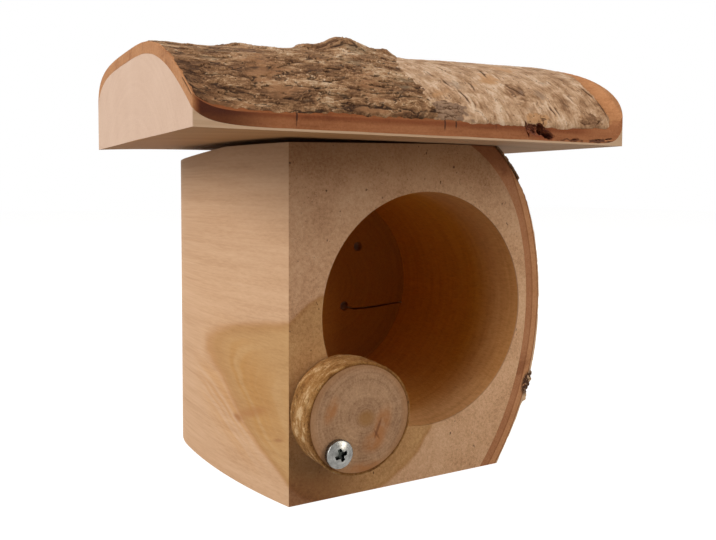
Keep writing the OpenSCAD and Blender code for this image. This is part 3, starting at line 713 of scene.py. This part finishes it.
class Tree:
    """A node material in the part's own coordinates, in metres, with one short call for each kind of node."""

    def __init__(self, name):
        self.mat = bpy.data.materials.new(name)
        self.mat.use_nodes = True
        self.tree = self.mat.node_tree
        self.tree.nodes.clear()
        self.out = self.tree.nodes.new("ShaderNodeOutputMaterial")
        coords = self.add("TexCoord")
        self.place = coords.outputs["Object"]
        self.x, self.y, self.z = self.split(self.place)
        self.nx, self.ny, self.nz = self.split(coords.outputs["Normal"])

    def put(self, value, socket):
        if isinstance(value, bpy.types.NodeSocket):
            self.tree.links.new(value, socket)
        else:
            socket.default_value = value

    def add(self, kind, inputs=None, **props):
        n = self.tree.nodes.new("ShaderNode" + kind)
        for k, v in props.items():
            setattr(n, k, v)
        for k, v in (inputs or {}).items():
            self.put(v, n.inputs[k])
        return n

    def split(self, vector):
        return tuple(self.add("SeparateXYZ", {0: vector}).outputs)

    def math(self, op, a, b=0.0, c=0.0):
        return self.add("Math", {0: a, 1: b, 2: c}, operation=op).outputs[0]

    def times(self, first, *more):
        for m in more:
            first = self.math("MULTIPLY", first, m)
        return first

    def off(self, v, mm):
        """A coordinate measured from a place that is given in millimetres."""
        return self.math("SUBTRACT", v, mm * MM)

    def length(self, a, b):
        return self.math("SQRT", self.math("ADD", self.times(a, a), self.times(b, b)))

    def sway(self, base, *layers):
        """The base plus each noise, which swings by half its amount either way."""
        for layer, amount in layers:
            base = self.math("MULTIPLY_ADD", self.math("SUBTRACT", layer, 0.5), amount, base)
        return base

    def noise(self, vector, scale, detail, rough=0.55, warp=0.0):
        return self.add("TexNoise", {"Vector": vector, "Scale": scale, "Detail": detail, "Roughness": rough,
                                     "Distortion": warp}).outputs["Fac"]

    def grain(self, x, y, z, detail, rough=0.55, warp=0.0):
        """Noise with x, y and z cells to the metre along each axis."""
        at = self.add("Mapping", {"Vector": self.place, "Scale": (x, y, z)})
        return self.noise(at.outputs[0], 1.0, detail, rough, warp)

    def bands(self, detail, *axes, rough=0.55):
        """Noise over up to three values, each with its own number of cells to the metre."""
        at = self.add("CombineXYZ", {k: self.math("MULTIPLY", v, f) for k, (v, f) in enumerate(axes)})
        return self.noise(at.outputs[0], 1.0, detail, rough)

    def span(self, v, a, b, low=0.0, high=1.0):
        return self.add("MapRange", {0: v, 1: a, 2: b, 3: low, 4: high}, clamp=True,
                        interpolation_type="SMOOTHSTEP").outputs[0]

    def fade(self, v, a, b, low=0.0, high=1.0):
        """A span between two places in millimetres."""
        return self.span(v, a * MM, b * MM, low, high)

    def ramp(self, v, stops):
        n = self.add("ValToRGB", {0: v})
        e = n.color_ramp.elements
        e.remove(e[-1])
        for k, (p, rgb) in enumerate(stops):
            one = e.new(p) if k else e[0]
            one.position, one.color = p, srgb(*rgb)
        return n.outputs[0]

    def shades(self, v, dark, middle, light):
        return self.ramp(v, [(0.2, dark), (0.5, middle), (0.8, light)])

    def mix(self, v, a, b, blend="MIX"):
        n = self.add("Mix", data_type="RGBA", blend_type=blend)
        for k, w in ((0, v), (6, a), (7, b)):
            self.put(w, n.inputs[k])
        return n.outputs[2]

    def painted(self, colour, amount, rgb):
        return self.mix(amount, colour, srgb(*rgb))

    def tinted(self, colour, amount, rgb):
        """The colour multiplied by rgb, by an amount from 0 to 1."""
        return self.mix(amount, colour, srgb(*rgb), "MULTIPLY")

    def blob(self, at, radii, turn=(0, 0, 0)):
        """From 1 in the middle of an ellipsoid to 0 at its edge; at and radii in millimetres."""
        m = self.add("Mapping", {"Vector": self.place, "Location": [v * MM for v in at], "Rotation": turn,
                                 "Scale": [v * MM for v in radii]}, vector_type="TEXTURE")
        return self.add("TexGradient", {0: m.outputs[0]}, gradient_type="SPHERICAL").outputs["Fac"]

    def daub(self, colour, rgb, amount, at, radii, turn=(0, 0, 0), soft=(0.1, 0.7)):
        """Paint over a place the shape of an ellipsoid."""
        return self.painted(colour, self.span(self.blob(at, radii, turn), *soft, 0, amount), rgb)

    def bump(self, height, mm, normal=None):
        b = {"Height": height, "Distance": mm * MM}
        if normal is not None:
            b["Normal"] = normal
        return self.add("Bump", b).outputs[0]

    def finish(self, colour, rough, normal, specular=0.5, metallic=0.0):
        p = self.add("BsdfPrincipled", {"Base Color": colour, "Roughness": rough, "Normal": normal,
                                        "Specular IOR Level": specular, "Metallic": metallic})
        self.tree.links.new(p.outputs[0], self.out.inputs["Surface"])
        return self.mat


def bark_material(name, stops, reds, greys, slit, fleck=0.64, scale=1.0):
    """Bark from its relief: tone with painted highlights, darkness of slits and painted shade, and tint come
    with the mesh, and the fine fibre from noise.
    """
    t = Tree(name)
    tone, deep, tint = t.split(t.add("Attribute", attribute_name="bark").outputs["Vector"])
    fine = t.noise(t.place, 900 * scale, 6, 0.65)
    flecks = t.noise(t.place, 2600 * scale, 3, 0.6)
    colour = t.ramp(t.sway(tone, (fine, 0.8), (flecks, fleck)), stops)
    colour = t.painted(colour, t.span(tint, 0.62, 0.95, 0, 0.65), reds)
    colour = t.painted(colour, t.span(tint, 0.38, 0.08, 0, 0.55), greys)
    # The slit colour paints both the slits and the painted shade carried in deep.
    colour = t.painted(colour, t.span(deep, 0.25, 1.0, 0, 0.94), slit)
    return t.finish(colour, 0.9, t.bump(flecks, 0.12, t.bump(fine, 0.35)), 0.2)


BORE_Z, BORE_R, BORE_MOUTH, BORE_END, BACK = 64.5, 44.1, (-51.4, -50.5), 35.0, 37.0


def end_grain(t, torn, pores):
    """Torn fibres, dark pores and spots, with painted shade towards the left, painted shadow of the roof at the
    top and painted shadow of the slice at the lower left.
    """
    level = t.sway(0.5, (torn, 1.1), (t.grain(70, 70, 70, 3, 0.5), 0.6))
    ends = t.shades(level, (184, 138, 100), (219, 174, 136), (236, 196, 160))
    upper = t.fade(t.z, 60, 112, 0.25, 1.0)
    ends = t.painted(ends, t.times(t.span(pores, 0.38, 0.27, 0, 0.75), upper), (112, 72, 44))
    ends = t.painted(ends, t.span(t.grain(620, 420, 420, 1, 0.4), 0.25, 0.19, 0, 0.85), (84, 50, 28))
    # Painted shade: darker towards the left.
    ends = t.tinted(ends, t.fade(t.x, 20, -50), (238, 236, 236))
    # Painted shadow of the roof at the top.
    ends = t.tinted(ends, t.fade(t.z, 104, 122), (216, 204, 184))
    # Painted shadow of the slice at the lower left.
    return t.tinted(ends, t.times(t.fade(t.z, 26, 4), t.fade(t.x, -20, -45)), (200, 180, 158))


def left_stains(t, colour, lines, r):
    """Yellow stains, stained arcs and a knot's dark streaks low on the left side."""
    arcs = t.span(t.bands(2, (r, 700), (t.y, 14)), 0.35, 0.65, 0, 0.7)
    low = t.span(t.blob((-63, -18, 34), (20, 52, 34), (0.3, 0, 0)), 0.1, 0.7)
    colour = t.tinted(colour, t.times(low, arcs), (244, 226, 184))
    streak = t.blob((-62, -31, 28.6), (14, 18, 3.2), (-0.32, 0, 0))
    streak = t.span(t.times(streak, t.span(lines, 0.3, 0.7, 0.5, 1.0)), 0.1, 0.7, 0, 0.6)
    colour = t.painted(colour, streak, (168, 112, 66))
    colour = t.daub(colour, (150, 94, 52), 0.6, (-64, -21.5, 24.5), (10, 4.6, 2.0), (0.2, 0, 0), (0.1, 0.8))
    return t.daub(colour, (150, 96, 56), 0.6, (-57, -46, 22), (12, 5, 1.4), (-0.2, 0, 0), (0.2, 0.9))


def bore_walls(t, torn):
    """The turned side, darker and more orange than the rest, partly as painted shade and bounced light of the
    deep bore, with the cutter's rings along its depth and on its floor. Gives where the bore is, its colour and
    the rings."""
    from_axis = t.length(t.x, t.off(t.z, BORE_Z))
    bore = t.times(t.fade(from_axis, BORE_R + 0.3, BORE_R), t.fade(t.y, *BORE_MOUTH))
    bore = t.times(bore, t.fade(t.y, BACK + 3, BACK))
    bottom = t.fade(t.y, BORE_END, BORE_END + 0.4)
    marks = t.mix(bottom, t.bands(3, (t.y, 420), (t.z, 30), (t.x, 30)), t.bands(3, (from_axis, 520), (t.z, 12)))
    level = t.sway(0.5, (marks, 0.45), (torn, 0.8))
    walls = t.shades(level, (180, 124, 66), (206, 148, 86), (222, 168, 106))
    # Painted light: the lower wall near the mouth, where the front light reaches, takes lighter shades of the
    # wood.
    dark_remnant_or_lit_wall = t.times(t.fade(t.z, 40, 22), t.fade(t.y, -26, -44))
    walls = t.mix(dark_remnant_or_lit_wall, walls, t.shades(level, (192, 138, 84), (222, 170, 114), (240, 194, 140)))
    # Painted colour of light bounced round the deep bore: walls deeper in and higher up lose blue.
    walls = t.tinted(walls, t.times(t.fade(t.y, -40, -20), t.fade(t.z, 20, 46, 0.45, 1.0)), (255, 246, 150))
    # Painted shade: the bore's far end is darker.
    return bore, t.tinted(walls, bottom, (214, 200, 190)), marks


def block_wood_material():
    t = Tree("block_wood")
    # The heart: rings round the pith, which climbs towards the back, inside a stained core that narrows
    from_front = t.off(t.y, BLOCK_Y0)
    pith_z = t.math("MULTIPLY_ADD", from_front, 0.25, 0.036)
    r = t.length(t.off(t.x, -31.7), t.math("SUBTRACT", t.z, pith_z))
    r = t.sway(r, (t.grain(28, 9, 28, 3), 0.010))
    inside = t.math("SUBTRACT", t.math("MULTIPLY_ADD", from_front, -0.03, 0.0378), r)
    heart = t.fade(inside, -0.4, 1.2)
    rim = t.times(t.fade(inside, -0.6, 0.4), t.fade(inside, 3.0, 0.6))
    # Side grain: fine lines along the log, seen on the sawn sides
    lines, sawn = t.grain(1500, 26, 1500, 3, 0.6), t.grain(30, 30, 900, 2, 0.4)
    side_level = t.sway(0.5, (lines, 0.50), (t.grain(120, 9, 240, 3, 0.5), 0.55), (sawn, 0.30))
    sides = t.shades(side_level, (188, 146, 108), (205, 164, 127), (216, 177, 141))
    torn, pores = t.grain(1100, 300, 1100, 5, 0.7), t.grain(1500, 200, 1500, 3, 0.6)
    end = t.span(t.math("ABSOLUTE", t.ny), 0.6, 0.75)
    colour = t.mix(end, sides, end_grain(t, torn, pores))
    ringed = t.sway(0.5, (t.bands(2, (r, 260), (t.y, 4)), 0.8))
    hue = t.ramp(ringed, [(0.25, (226, 208, 190)), (0.6, (255, 255, 255))])
    colour = t.mix(t.math("MULTIPLY_ADD", heart, 0.35, 0.12), colour, t.mix(1.0, colour, hue, "MULTIPLY"))
    colour = t.tinted(colour, heart, (238, 232, 202))
    colour = t.tinted(colour, t.times(rim, 0.4), (226, 204, 176))
    # Painted shade of the roof: darker from halfway up towards the top.
    colour = t.tinted(left_stains(t, colour, lines, r), t.fade(t.z, 60, 124), (228, 226, 224))
    bore, walls, marks = bore_walls(t, torn)
    colour = t.mix(bore, colour, walls)
    side_n, end_n = t.bump(sawn, 0.10, t.bump(lines, 0.10)), t.bump(pores, 0.10, t.bump(torn, 0.30))
    normal = t.mix(bore, t.mix(end, side_n, end_n), t.bump(marks, 0.10, t.bump(torn, 0.12)))
    return t.finish(colour, 0.72, normal, 0.3)


def roof_wood_material():
    t = Tree("roof_wood")
    lines, torn = t.grain(26, 1300, 1300, 3, 0.6), t.grain(200, 900, 900, 5, 0.65)
    level = t.sway(0.5, (lines, 0.5), (t.grain(10, 160, 160, 3, 0.5), 0.6))
    sides = t.shades(level, (186, 150, 118), (205, 172, 142), (218, 188, 160))
    rings = t.bands(2, (t.length(t.off(t.y, -12), t.off(t.z, 90)), 420))
    level = t.sway(0.5, (torn, 0.35), (t.grain(60, 60, 60, 2, 0.5), 0.35), (rings, 0.30))
    ends = t.shades(level, (190, 157, 134), (204, 173, 150), (214, 185, 163))
    end = t.span(t.math("ABSOLUTE", t.nx), 0.6, 0.75)
    # Painted shade: faces turned to the floor are darker and browner, more so towards the left.
    underside_shade = t.span(t.nz, -0.4, -0.7)
    colour = t.tinted(t.mix(end, sides, ends), t.times(underside_shade, t.fade(t.x, 30, -60)), (222, 200, 164))
    colour = t.tinted(colour, underside_shade, (255, 248, 236))
    return t.finish(colour, 0.75, t.mix(end, t.bump(lines, 0.12), t.bump(torn, 0.14)), 0.3)


FACE_Y = -65.7
# Stains on the slice: x and z of the middle, radii, and turn
SLICE_STAINS = [((-28.0, 29.0), (4.4, 8.5), 0.35), ((-31.5, 23.0), (6.0, 4.6), -0.3),
                ((-47.5, 36.0), (3.0, 6.5), 0.4), ((-35.0, 15.0), (9.0, 2.6), 0)]


def disc_wood_material():
    """The branch slice: rings, rays, a dark core, a brown rim, stains and a forked crack."""
    t = Tree("disc_wood")
    dx, dz = t.sway(t.off(t.x, -34.8), (t.grain(120, 40, 120, 2), 0.0022)), t.off(t.z, 32.6)
    r = t.length(dx, dz)
    rings = t.bands(2, (r, 1250), (t.z, 40), rough=0.5)
    sharp = t.bands(1, (r, 1500), rough=0.5)
    rays = t.bands(3, (t.math("ARCTAN2", dz, dx), 26), (r, 60), rough=0.6)
    torn = t.grain(1400, 300, 1400, 4, 0.65)
    level = t.sway(0.5, (rings, 0.5), (torn, 0.7), (t.grain(160, 60, 160, 4, 0.6), 0.7), (rays, 0.30))
    colour = t.shades(level, (134, 98, 70), (170, 132, 100), (196, 158, 124))
    colour = t.painted(colour, t.span(sharp, 0.36, 0.26, 0, 0.2), (132, 96, 68))
    colour = t.painted(colour, t.span(sharp, 0.64, 0.74, 0, 0.3), (206, 172, 138))
    colour = t.daub(colour, (152, 106, 54), 0.75, (-34.3, FACE_Y, 31.6), (5.0, 20, 4.2), soft=(0.05, 0.7))
    from_middle = t.sway(t.length(t.off(t.x, -36.6), t.off(t.z, 31.8)), (torn, 0.002))
    colour = t.painted(colour, t.fade(from_middle, 15.5, 18.8, 0, 0.55), (158, 108, 64))
    for (x, z), (rx, rz), turn in SLICE_STAINS:
        stain = t.span(t.blob((x, FACE_Y, z), (rx, 24, rz), (0, turn, 0)), 0.0, 0.7)
        stain = t.times(stain, t.span(t.grain(300, 100, 300, 3), 0.3, 0.6, 0.25, 0.7))
        colour = t.painted(colour, stain, (168, 106, 54))
    for (x, z), (rx, rz), turn, amount in (((-29.7, 27.6), (0.75, 5.4), 0.38, 0.7),
                                           ((-30.2, 25.6), (0.6, 3.0), -0.55, 0.6)):
        colour = t.daub(colour, (110, 62, 32), amount, (x, FACE_Y, z), (rx, 20, rz), (0, turn, 0), (0.1, 0.6))
    return t.finish(colour, 0.7, t.bump(torn, 0.14, t.bump(rings, 0.12)), 0.3)


def inner_bark_material(name, scale, dark, middle, light, stain, shade):
    """Inner bark cut across, with fibres, stains and short dark cracks, then what shade adds for the piece."""
    t = Tree(name)
    fibre, speck = t.grain(*scale, 4, 0.6), t.noise(t.place, 1500, 4, 0.7)
    cloud = t.grain(60, 60, 90, 4, 0.55)
    colour = t.shades(t.sway(0.5, (fibre, 0.5), (speck, 0.6), (cloud, 0.6)), dark, middle, light)
    colour = t.painted(colour, t.span(cloud, 0.42, 0.30, 0, 0.6), stain)
    colour = t.painted(colour, t.span(t.grain(420, 420, 40, 1, 0.3), 0.225, 0.19, 0, 0.7), (60, 32, 18))
    return t.finish(shade(t, colour), 0.8, t.bump(speck, 0.2, t.bump(fibre, 0.25)), 0.25)


def roof_band(t, colour):
    """The front band is redder than the sawn ends, with painted shade in its hollow, at its top just under the
    bark and on the strip under the bark's edge.
    """
    front = t.times(t.span(t.ny, -0.88, -0.97), t.fade(t.x, -99.8, -97.5))
    colour = t.tinted(colour, front, (224, 206, 200))
    # Painted shade: the hollow under the overhanging bark at the left is darker.
    hollow = t.times(t.fade(t.x, -72, -92), t.fade(t.x, -99.5, -97.2))
    colour = t.tinted(colour, t.times(front, hollow), (148, 124, 94))
    colour = t.tinted(colour, t.span(t.nx, -0.6, -0.8), (234, 236, 236))
    not_end = t.fade(t.x, 50, 40)
    # Painted shade at the band's top, just under the bark.
    colour = t.tinted(colour, t.times(t.fade(t.z, 128.4, 130.4), not_end, front), (206, 180, 160))
    # Painted shade on the strip between the bark's edge and the front face.
    lip = t.times(t.fade(t.y, -80.5, -84.0), not_end, t.fade(t.x, -99.8, -98.0))
    colour = t.tinted(colour, t.times(lip, t.math("SUBTRACT", 1.0, front)), (196, 166, 144))
    red = t.span(t.blob((22.0, -85.6, 130.0), (9.0, 3.0, 4.0), (0, 0.3, 0)), 0.05, 0.7, 0, 0.9)
    colour = t.tinted(colour, red, (196, 140, 112))
    # A broken dark line low on the right, and drying cracks
    wobble = t.grain(260, 100, 260, 3)
    line = t.math("ABSOLUTE", t.math("SUBTRACT", t.math("MULTIPLY_ADD", wobble, 0.0022, 0.1260), t.z))
    line = t.math("ADD", line, t.fade(t.x, 54, 30, 0, 0.0004))
    chips = t.times(t.fade(line, 0.9, 0.3), t.fade(t.x, 26, 34), t.span(t.grain(190, 100, 190, 2), 0.38, 0.5))
    colour = t.painted(colour, t.times(chips, 0.85), (62, 30, 18))
    for x, length in ((-69.0, 4.4), (-17.0, 3.0), (-12.6, 1.8), (3.8, 1.6)):
        crack = t.span(t.blob((x, -85.6, 130.4), (0.42, 3.0, length), (0, 0.06, 0)), 0.05, 0.5, 0, 0.85)
        colour = t.painted(colour, t.times(crack, t.span(wobble, 0.35, 0.5, 0.3, 1)), (52, 26, 14))
    return colour


def block_band(t, colour):
    """Two layers: pinkish brown next to the wood, a thin dark line, and orange outside, with a dark remnant and
    painted shade of the roof at the top.
    """
    r = t.length(t.off(t.x, BARK_MID[0]), t.off(t.z, BARK_MID_Z))
    inset = t.math("SUBTRACT", BARK_R * MM, r)
    colour = t.tinted(colour, t.fade(inset, 4.0, 4.6), (232, 222, 220))
    line = t.times(t.fade(inset, 3.6, 3.9), t.fade(inset, 4.6, 4.1), 0.7)
    colour = t.tinted(colour, line, (190, 160, 140))
    colour = t.tinted(colour, t.times(t.fade(inset, 1.6, 1.2), t.fade(inset, 0.6, 1.0)), (190, 160, 140))
    colour = t.painted(colour, t.fade(inset, 1.2, 0.8, 0, 0.8), (226, 194, 160))
    # Painted shade of the roof: darker at the top.
    colour = t.tinted(colour, t.fade(t.z, 112, 122), (196, 176, 150))
    remnant = t.span(t.blob((49.0, -51.5, 31.0), (3.6, 6.0, 7.5), (0, 0.35, 0)), 0.15, 0.5)
    dark_remnant_or_lit_wall = t.math("MAXIMUM", remnant, t.times(t.fade(t.z, 108, 124), t.fade(inset, 4.0, 2.6)))
    ragged = t.span(t.grain(500, 200, 500, 4, 0.6, 1.0), 0.32, 0.48)
    return t.painted(colour, t.times(dark_remnant_or_lit_wall, ragged), (66, 38, 20))


def zinc_material():
    """Zinc plate, with painted shade in the pan head's recess and a painted dark reflection on it."""
    t = Tree("zinc")
    grain = t.noise(t.place, 2200, 4, 0.6)
    colour = t.ramp(t.noise(t.place, 500, 3, 0.5), [(0.3, (112, 111, 108)), (0.7, (150, 149, 145))])
    from_middle = t.length(t.off(t.x, SCREW_X), t.off(t.z, SCREW_Z))
    # Painted shade: the cross recess darkens with depth.
    recess = t.times(t.fade(t.y, -68.6, -68.0), t.fade(from_middle, 3.5, 3.3), 0.9)
    colour = t.painted(colour, recess, (24, 26, 24))
    # Painted dark reflection on the upper left of the head.
    colour = t.daub(colour, (66, 70, 64), 0.6, (-46.0, -67.6, 22.2), (2.9, 4.0, 2.5), (0, -0.6, 0))
    return t.finish(colour, t.span(grain, 0.3, 0.7, 0.18, 0.34), t.bump(grain, 0.02), metallic=1.0)


def cavity_material():
    t = Tree("dead_knot")
    swirl = t.grain(500, 500, 500, 5, 0.65, 1.5)
    colour = t.ramp(swirl, [(0.3, (60, 26, 16)), (0.46, (116, 56, 32)), (0.6, (166, 98, 58)),
                            (0.8, (196, 134, 88))])
    return t.finish(colour, 0.85, t.bump(swirl, 0.6))


RAW_STOPS = [(0.08, (76, 50, 32)), (0.32, (116, 82, 56)), (0.52, (152, 114, 81)), (0.70, (184, 147, 112)),
             (0.92, (218, 190, 161))]
SMOOTH_STOPS = [(0.08, (128, 93, 68)), (0.34, (166, 128, 96)), (0.55, (191, 154, 122)),
                (0.75, (209, 174, 144)), (0.95, (226, 198, 172))]
BRANCH_STOPS = [(0.08, (78, 46, 18)), (0.32, (120, 78, 36)), (0.52, (148, 104, 56)), (0.72, (168, 124, 74)),
                (0.95, (204, 168, 124))]
SMOOTH_SLIT_AND_SHADE = (84, 54, 36)
ALONG_X, ALONG_Y = (60, 700, 700), (700, 60, 700)

rough_mat = bark_material("rough_bark", RAW_STOPS, (168, 122, 86), (140, 122, 98), (48, 30, 20))
smooth_mat = bark_material("smooth_bark", SMOOTH_STOPS, (202, 152, 106), (152, 128, 110), SMOOTH_SLIT_AND_SHADE, 0.48)
outer_mat = bark_material("outer_bark", SMOOTH_STOPS, (206, 156, 112), (166, 144, 118), SMOOTH_SLIT_AND_SHADE, 0.48)
disc_bark_mat = bark_material("disc_bark", BRANCH_STOPS, (182, 122, 68), (176, 150, 104), (62, 38, 20),
                              0.56, 1.6)
block_wood_mat, roof_wood_mat, disc_wood_mat = block_wood_material(), roof_wood_material(), disc_wood_material()
roof_inner_mat = inner_bark_material("roof_inner_bark", ALONG_X, (158, 102, 62), (190, 132, 88),
                                     (208, 152, 106), (140, 84, 48), roof_band)
block_inner_mat = inner_bark_material("block_inner_bark", ALONG_Y, (172, 118, 78), (198, 142, 100),
                                      (214, 162, 120), (158, 102, 66), block_band)
cut_mat = inner_bark_material("outer_bark_cut", ALONG_Y, (172, 118, 76), (198, 142, 98), (214, 162, 118),
                              (158, 102, 64), block_band)
zinc_mat, cavity_mat = zinc_material(), cavity_material()

# ------------------------------------------------------------------ pieces

ROOF_SCREWS = {"roof_screw_left": (-44.7, 4.5), "roof_screw_right": (11.3, -5.5)}
PIT_R, PIT_DEPTH, PIT_TOP = 4.56, 2.4, 25
LUMP_CELLS = 7


def dress(node, mat, bevel):
    """A CAD node keeps its own mesh, with its material and a slightly worn edge."""
    o = NODES[node]
    o.data.materials.clear()
    o.data.materials.append(mat)
    b = o.modifiers.new("worn_edge", "BEVEL")
    b.width, b.segments, b.limit_method, b.angle_limit = bevel * MM, 2, "ANGLE", math.radians(35)
    b.use_clamp_overlap, b.harden_normals = True, False


def piece(o, body, slot, *nodes):
    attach(o, body)
    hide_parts(*nodes)


def cutter(name, P, faces):
    """What a cutter leaves behind takes the second material."""
    o = make_object(name, P, faces, (cavity_mat, cavity_mat))
    o.data.polygons.foreach_set("material_index", [1] * len(o.data.polygons))
    return o


def lump(name, x, z, radii, seed, turn, rough):
    """A ragged ellipsoid at the roof's front edge, whose surface wanders."""
    nu, nv = 64, 40
    A, B = np.meshgrid(np.linspace(0, 2 * np.pi, nu, endpoint=False), np.linspace(0.06, np.pi - 0.06, nv),
                       indexing="ij")
    r = 1 + rough * fbm(A / (2 * np.pi) * LUMP_CELLS, B * 2.2, 3, seed, wrap=LUMP_CELLS)
    dx, dz = radii[0] * r * np.sin(B) * np.cos(A), radii[2] * r * np.sin(B) * np.sin(A)
    c, s = math.cos(turn), math.sin(turn)
    P = points(x + c * dx - s * dz, Y0 + radii[1] * r * np.cos(B), z + s * dx + c * dz)
    faces = []
    for i in range(nu):
        k = (i + 1) % nu
        for j in range(nv - 1):
            faces.append([i * nv + j, k * nv + j, k * nv + j + 1, i * nv + j + 1])
    first = [i * nv for i in range(nu)]
    return cutter(name, P, faces + [first[::-1], [i + nv - 1 for i in first]])


def pit(name, x, y, low, high):
    """The upright hole above a roof screw's head."""
    n = 64
    a = np.linspace(0, 2 * np.pi, n, endpoint=False)
    P = np.stack([points(x + PIT_R * np.cos(a), y + PIT_R * np.sin(a), z) for z in (low, high)])
    return cutter(name, P, quads(2, n, close_v=True) + [list(range(n)), list(range(2 * n - 1, n - 1, -1))])


rough = rough_piece([rough_mat, cavity_mat])
smooth = smooth_piece([smooth_mat, cavity_mat])
inner, slab = roof_core([roof_inner_mat, cavity_mat], [roof_wood_mat, cavity_mat])
outer = block_bark([outer_mat, cut_mat])
patch = block_patch([rough_mat])
slice_skin = slice_bark([disc_bark_mat])
pan = screw("disc_screw_pan", (SCREW_X, -66.0, SCREW_Z), 4.8, 2.93, 1.1, 2.2, 38.0, 0.35, False, [zinc_mat])

# The dead knot: a narrow split, a shallow red floor and the deep hole; then chips on the band's lower edge
knot = [lump("knot_split", 17.3, 130.2, (0.6, 3.0, 2.6), 601, 0.3, 0.6),
        lump("knot_floor", 20.6, 130.0, (4.4, 1.6, 1.7), 602, -0.25, 0.7),
        lump("knot_hole", 24.6, 129.7, (3.4, 5.2, 1.7), 603, -0.72, 0.7),
        lump("knot_end", 27.2, 128.3, (2.6, 5.6, 1.1), 604, -0.3, 0.6)]
chips = [lump("chip%d" % k, x, z, (2.0, 0.8, 0.3), 610 + k, 0.1, 0.7)
         for k, (x, z) in enumerate(((39.0, 127.3), (50.5, 127.6), (56.0, 128.1)))]
pits = []
for node, (x, y) in ROOF_SCREWS.items():
    (_, _, tip), (_, _, head) = box_mm(node)
    pits.append(pit("pit_" + node, x, y, head - PIT_DEPTH, head + PIT_TOP))
    o = screw(node + "_head", (x, y, head - 2.5), 4.5, 2.5, 0.0, 2.25, head - 2.5 - tip, 0.6, True, [zinc_mat])
    piece(o, "block", "zinc", node)
every = knot + chips + pits
for o, cutters in ((rough, pits), (smooth, knot + pits), (inner, every), (slab, every)):
    cut(o, cutters)
for o in every:
    bpy.data.objects.remove(o)

piece(rough, "block", "rough_bark", "roof_rough_bark")
piece(smooth, "block", "smooth_bark", "roof_smooth_bark")
piece(inner, "block", "inner_bark", "roof_inner_bark")
piece(slab, "block", "roof_wood", "roof_wood")
piece(outer, "block", "outer_bark", "block_outer_bark")
piece(patch, "block", "rough_bark", "block_rough_bark")
piece(slice_skin, "disc", "outer_bark", "disc_bark")
piece(pan, "block", "zinc", "disc_screw")
dress("block_wood", block_wood_mat, 0.3)
dress("block_inner_bark", block_inner_mat, 0.2)
dress("disc_wood", disc_wood_mat, 0.2)

# ------------------------------------------------------------------ stage and light

FLOOR_GREY, FLOOR_GLOW = 0.30, 0.975

bpy.ops.mesh.primitive_plane_add(size=8, location=(0, 0, -0.0002))
floor = bpy.context.object
floor.name = "floor"
t = Tree("floor")
path = t.add("LightPath").outputs
see = t.math("MAXIMUM", path["Is Camera Ray"], path["Is Glossy Ray"])
see = t.math("MAXIMUM", see, path["Is Transmission Ray"])
lit = t.add("BsdfDiffuse", {"Color": (FLOOR_GREY, FLOOR_GREY, FLOOR_GREY, 1)})
glow = t.add("Emission", {"Color": (1, 1, 1, 1), "Strength": t.times(see, FLOOR_GLOW)})
both = t.add("AddShader", {0: lit.outputs[0], 1: glow.outputs[0]})
t.tree.links.new(both.outputs[0], t.out.inputs["Surface"])
floor.data.materials.append(t.mat)

# The world is white where it is seen, and lights the object with a little warm light
world = bpy.data.worlds.new("world")
scene.world = world
world.use_nodes = True
sky = world.node_tree
sky.nodes.clear()
out, path, blend = (sky.nodes.new("ShaderNode" + k) for k in ("OutputWorld", "LightPath", "MixShader"))
seen = path.outputs["Is Camera Ray"]
for ray in ("Is Glossy Ray", "Is Transmission Ray"):
    top = sky.nodes.new("ShaderNodeMath")
    top.operation = "MAXIMUM"
    sky.links.new(seen, top.inputs[0])
    sky.links.new(path.outputs[ray], top.inputs[1])
    seen = top.outputs[0]
for k, strength, colour in ((1, 0.06, (1, 0.84, 0.64, 1)), (2, 1.0, (1, 1, 1, 1))):
    b = sky.nodes.new("ShaderNodeBackground")
    b.inputs["Color"].default_value, b.inputs["Strength"].default_value = colour, strength
    sky.links.new(b.outputs[0], blend.inputs[k])
sky.links.new(seen, blend.inputs[0])
sky.links.new(blend.outputs[0], out.inputs["Surface"])

WHITE, WARM = (1, 1, 1), (1, 0.93, 0.82)
AIM = Vector((0, 0, 0.09))
LAMPS = {  # where it is, its size, its power and its colour
    "key_left": ((-1.15, -0.08, 0.45), 0.8, 7.2, WHITE),
    "key_left_high": ((-1.2, -0.05, 0.7), 0.6, 7.6, WHITE),
    "front_right_low": ((0.70, -1.10, 0.30), 0.5, 4.9, WARM),
    "front_right_high": ((0.62, -1.02, 0.85), 0.5, 3.0, WARM),
    "front_left": ((-0.6, -0.95, 0.95), 0.7, 0.6, WARM),
    "front_high": ((0.2, -1.1, 0.9), 0.7, 0.8, (1, 0.9, 0.76)),
    "overhead": ((0.1, -0.35, 1.3), 0.8, 2.7, (1, 0.96, 0.9)),
    "back_right": ((1.0, 0.95, 0.5), 0.8, 5.0, (1, 0.97, 0.92)),
}
for name, (at, size, watts, colour) in LAMPS.items():
    d = bpy.data.lights.new(name, "AREA")
    d.shape, d.size, d.energy, d.color = "SQUARE", size, watts, colour
    o = bpy.data.objects.new(name, d)
    scene.collection.objects.link(o)
    o.location, o.visible_camera = at, False
    o.rotation_euler = (AIM - Vector(at)).to_track_quat("-Z", "Y").to_euler()
scene.view_settings.view_transform = "Standard"
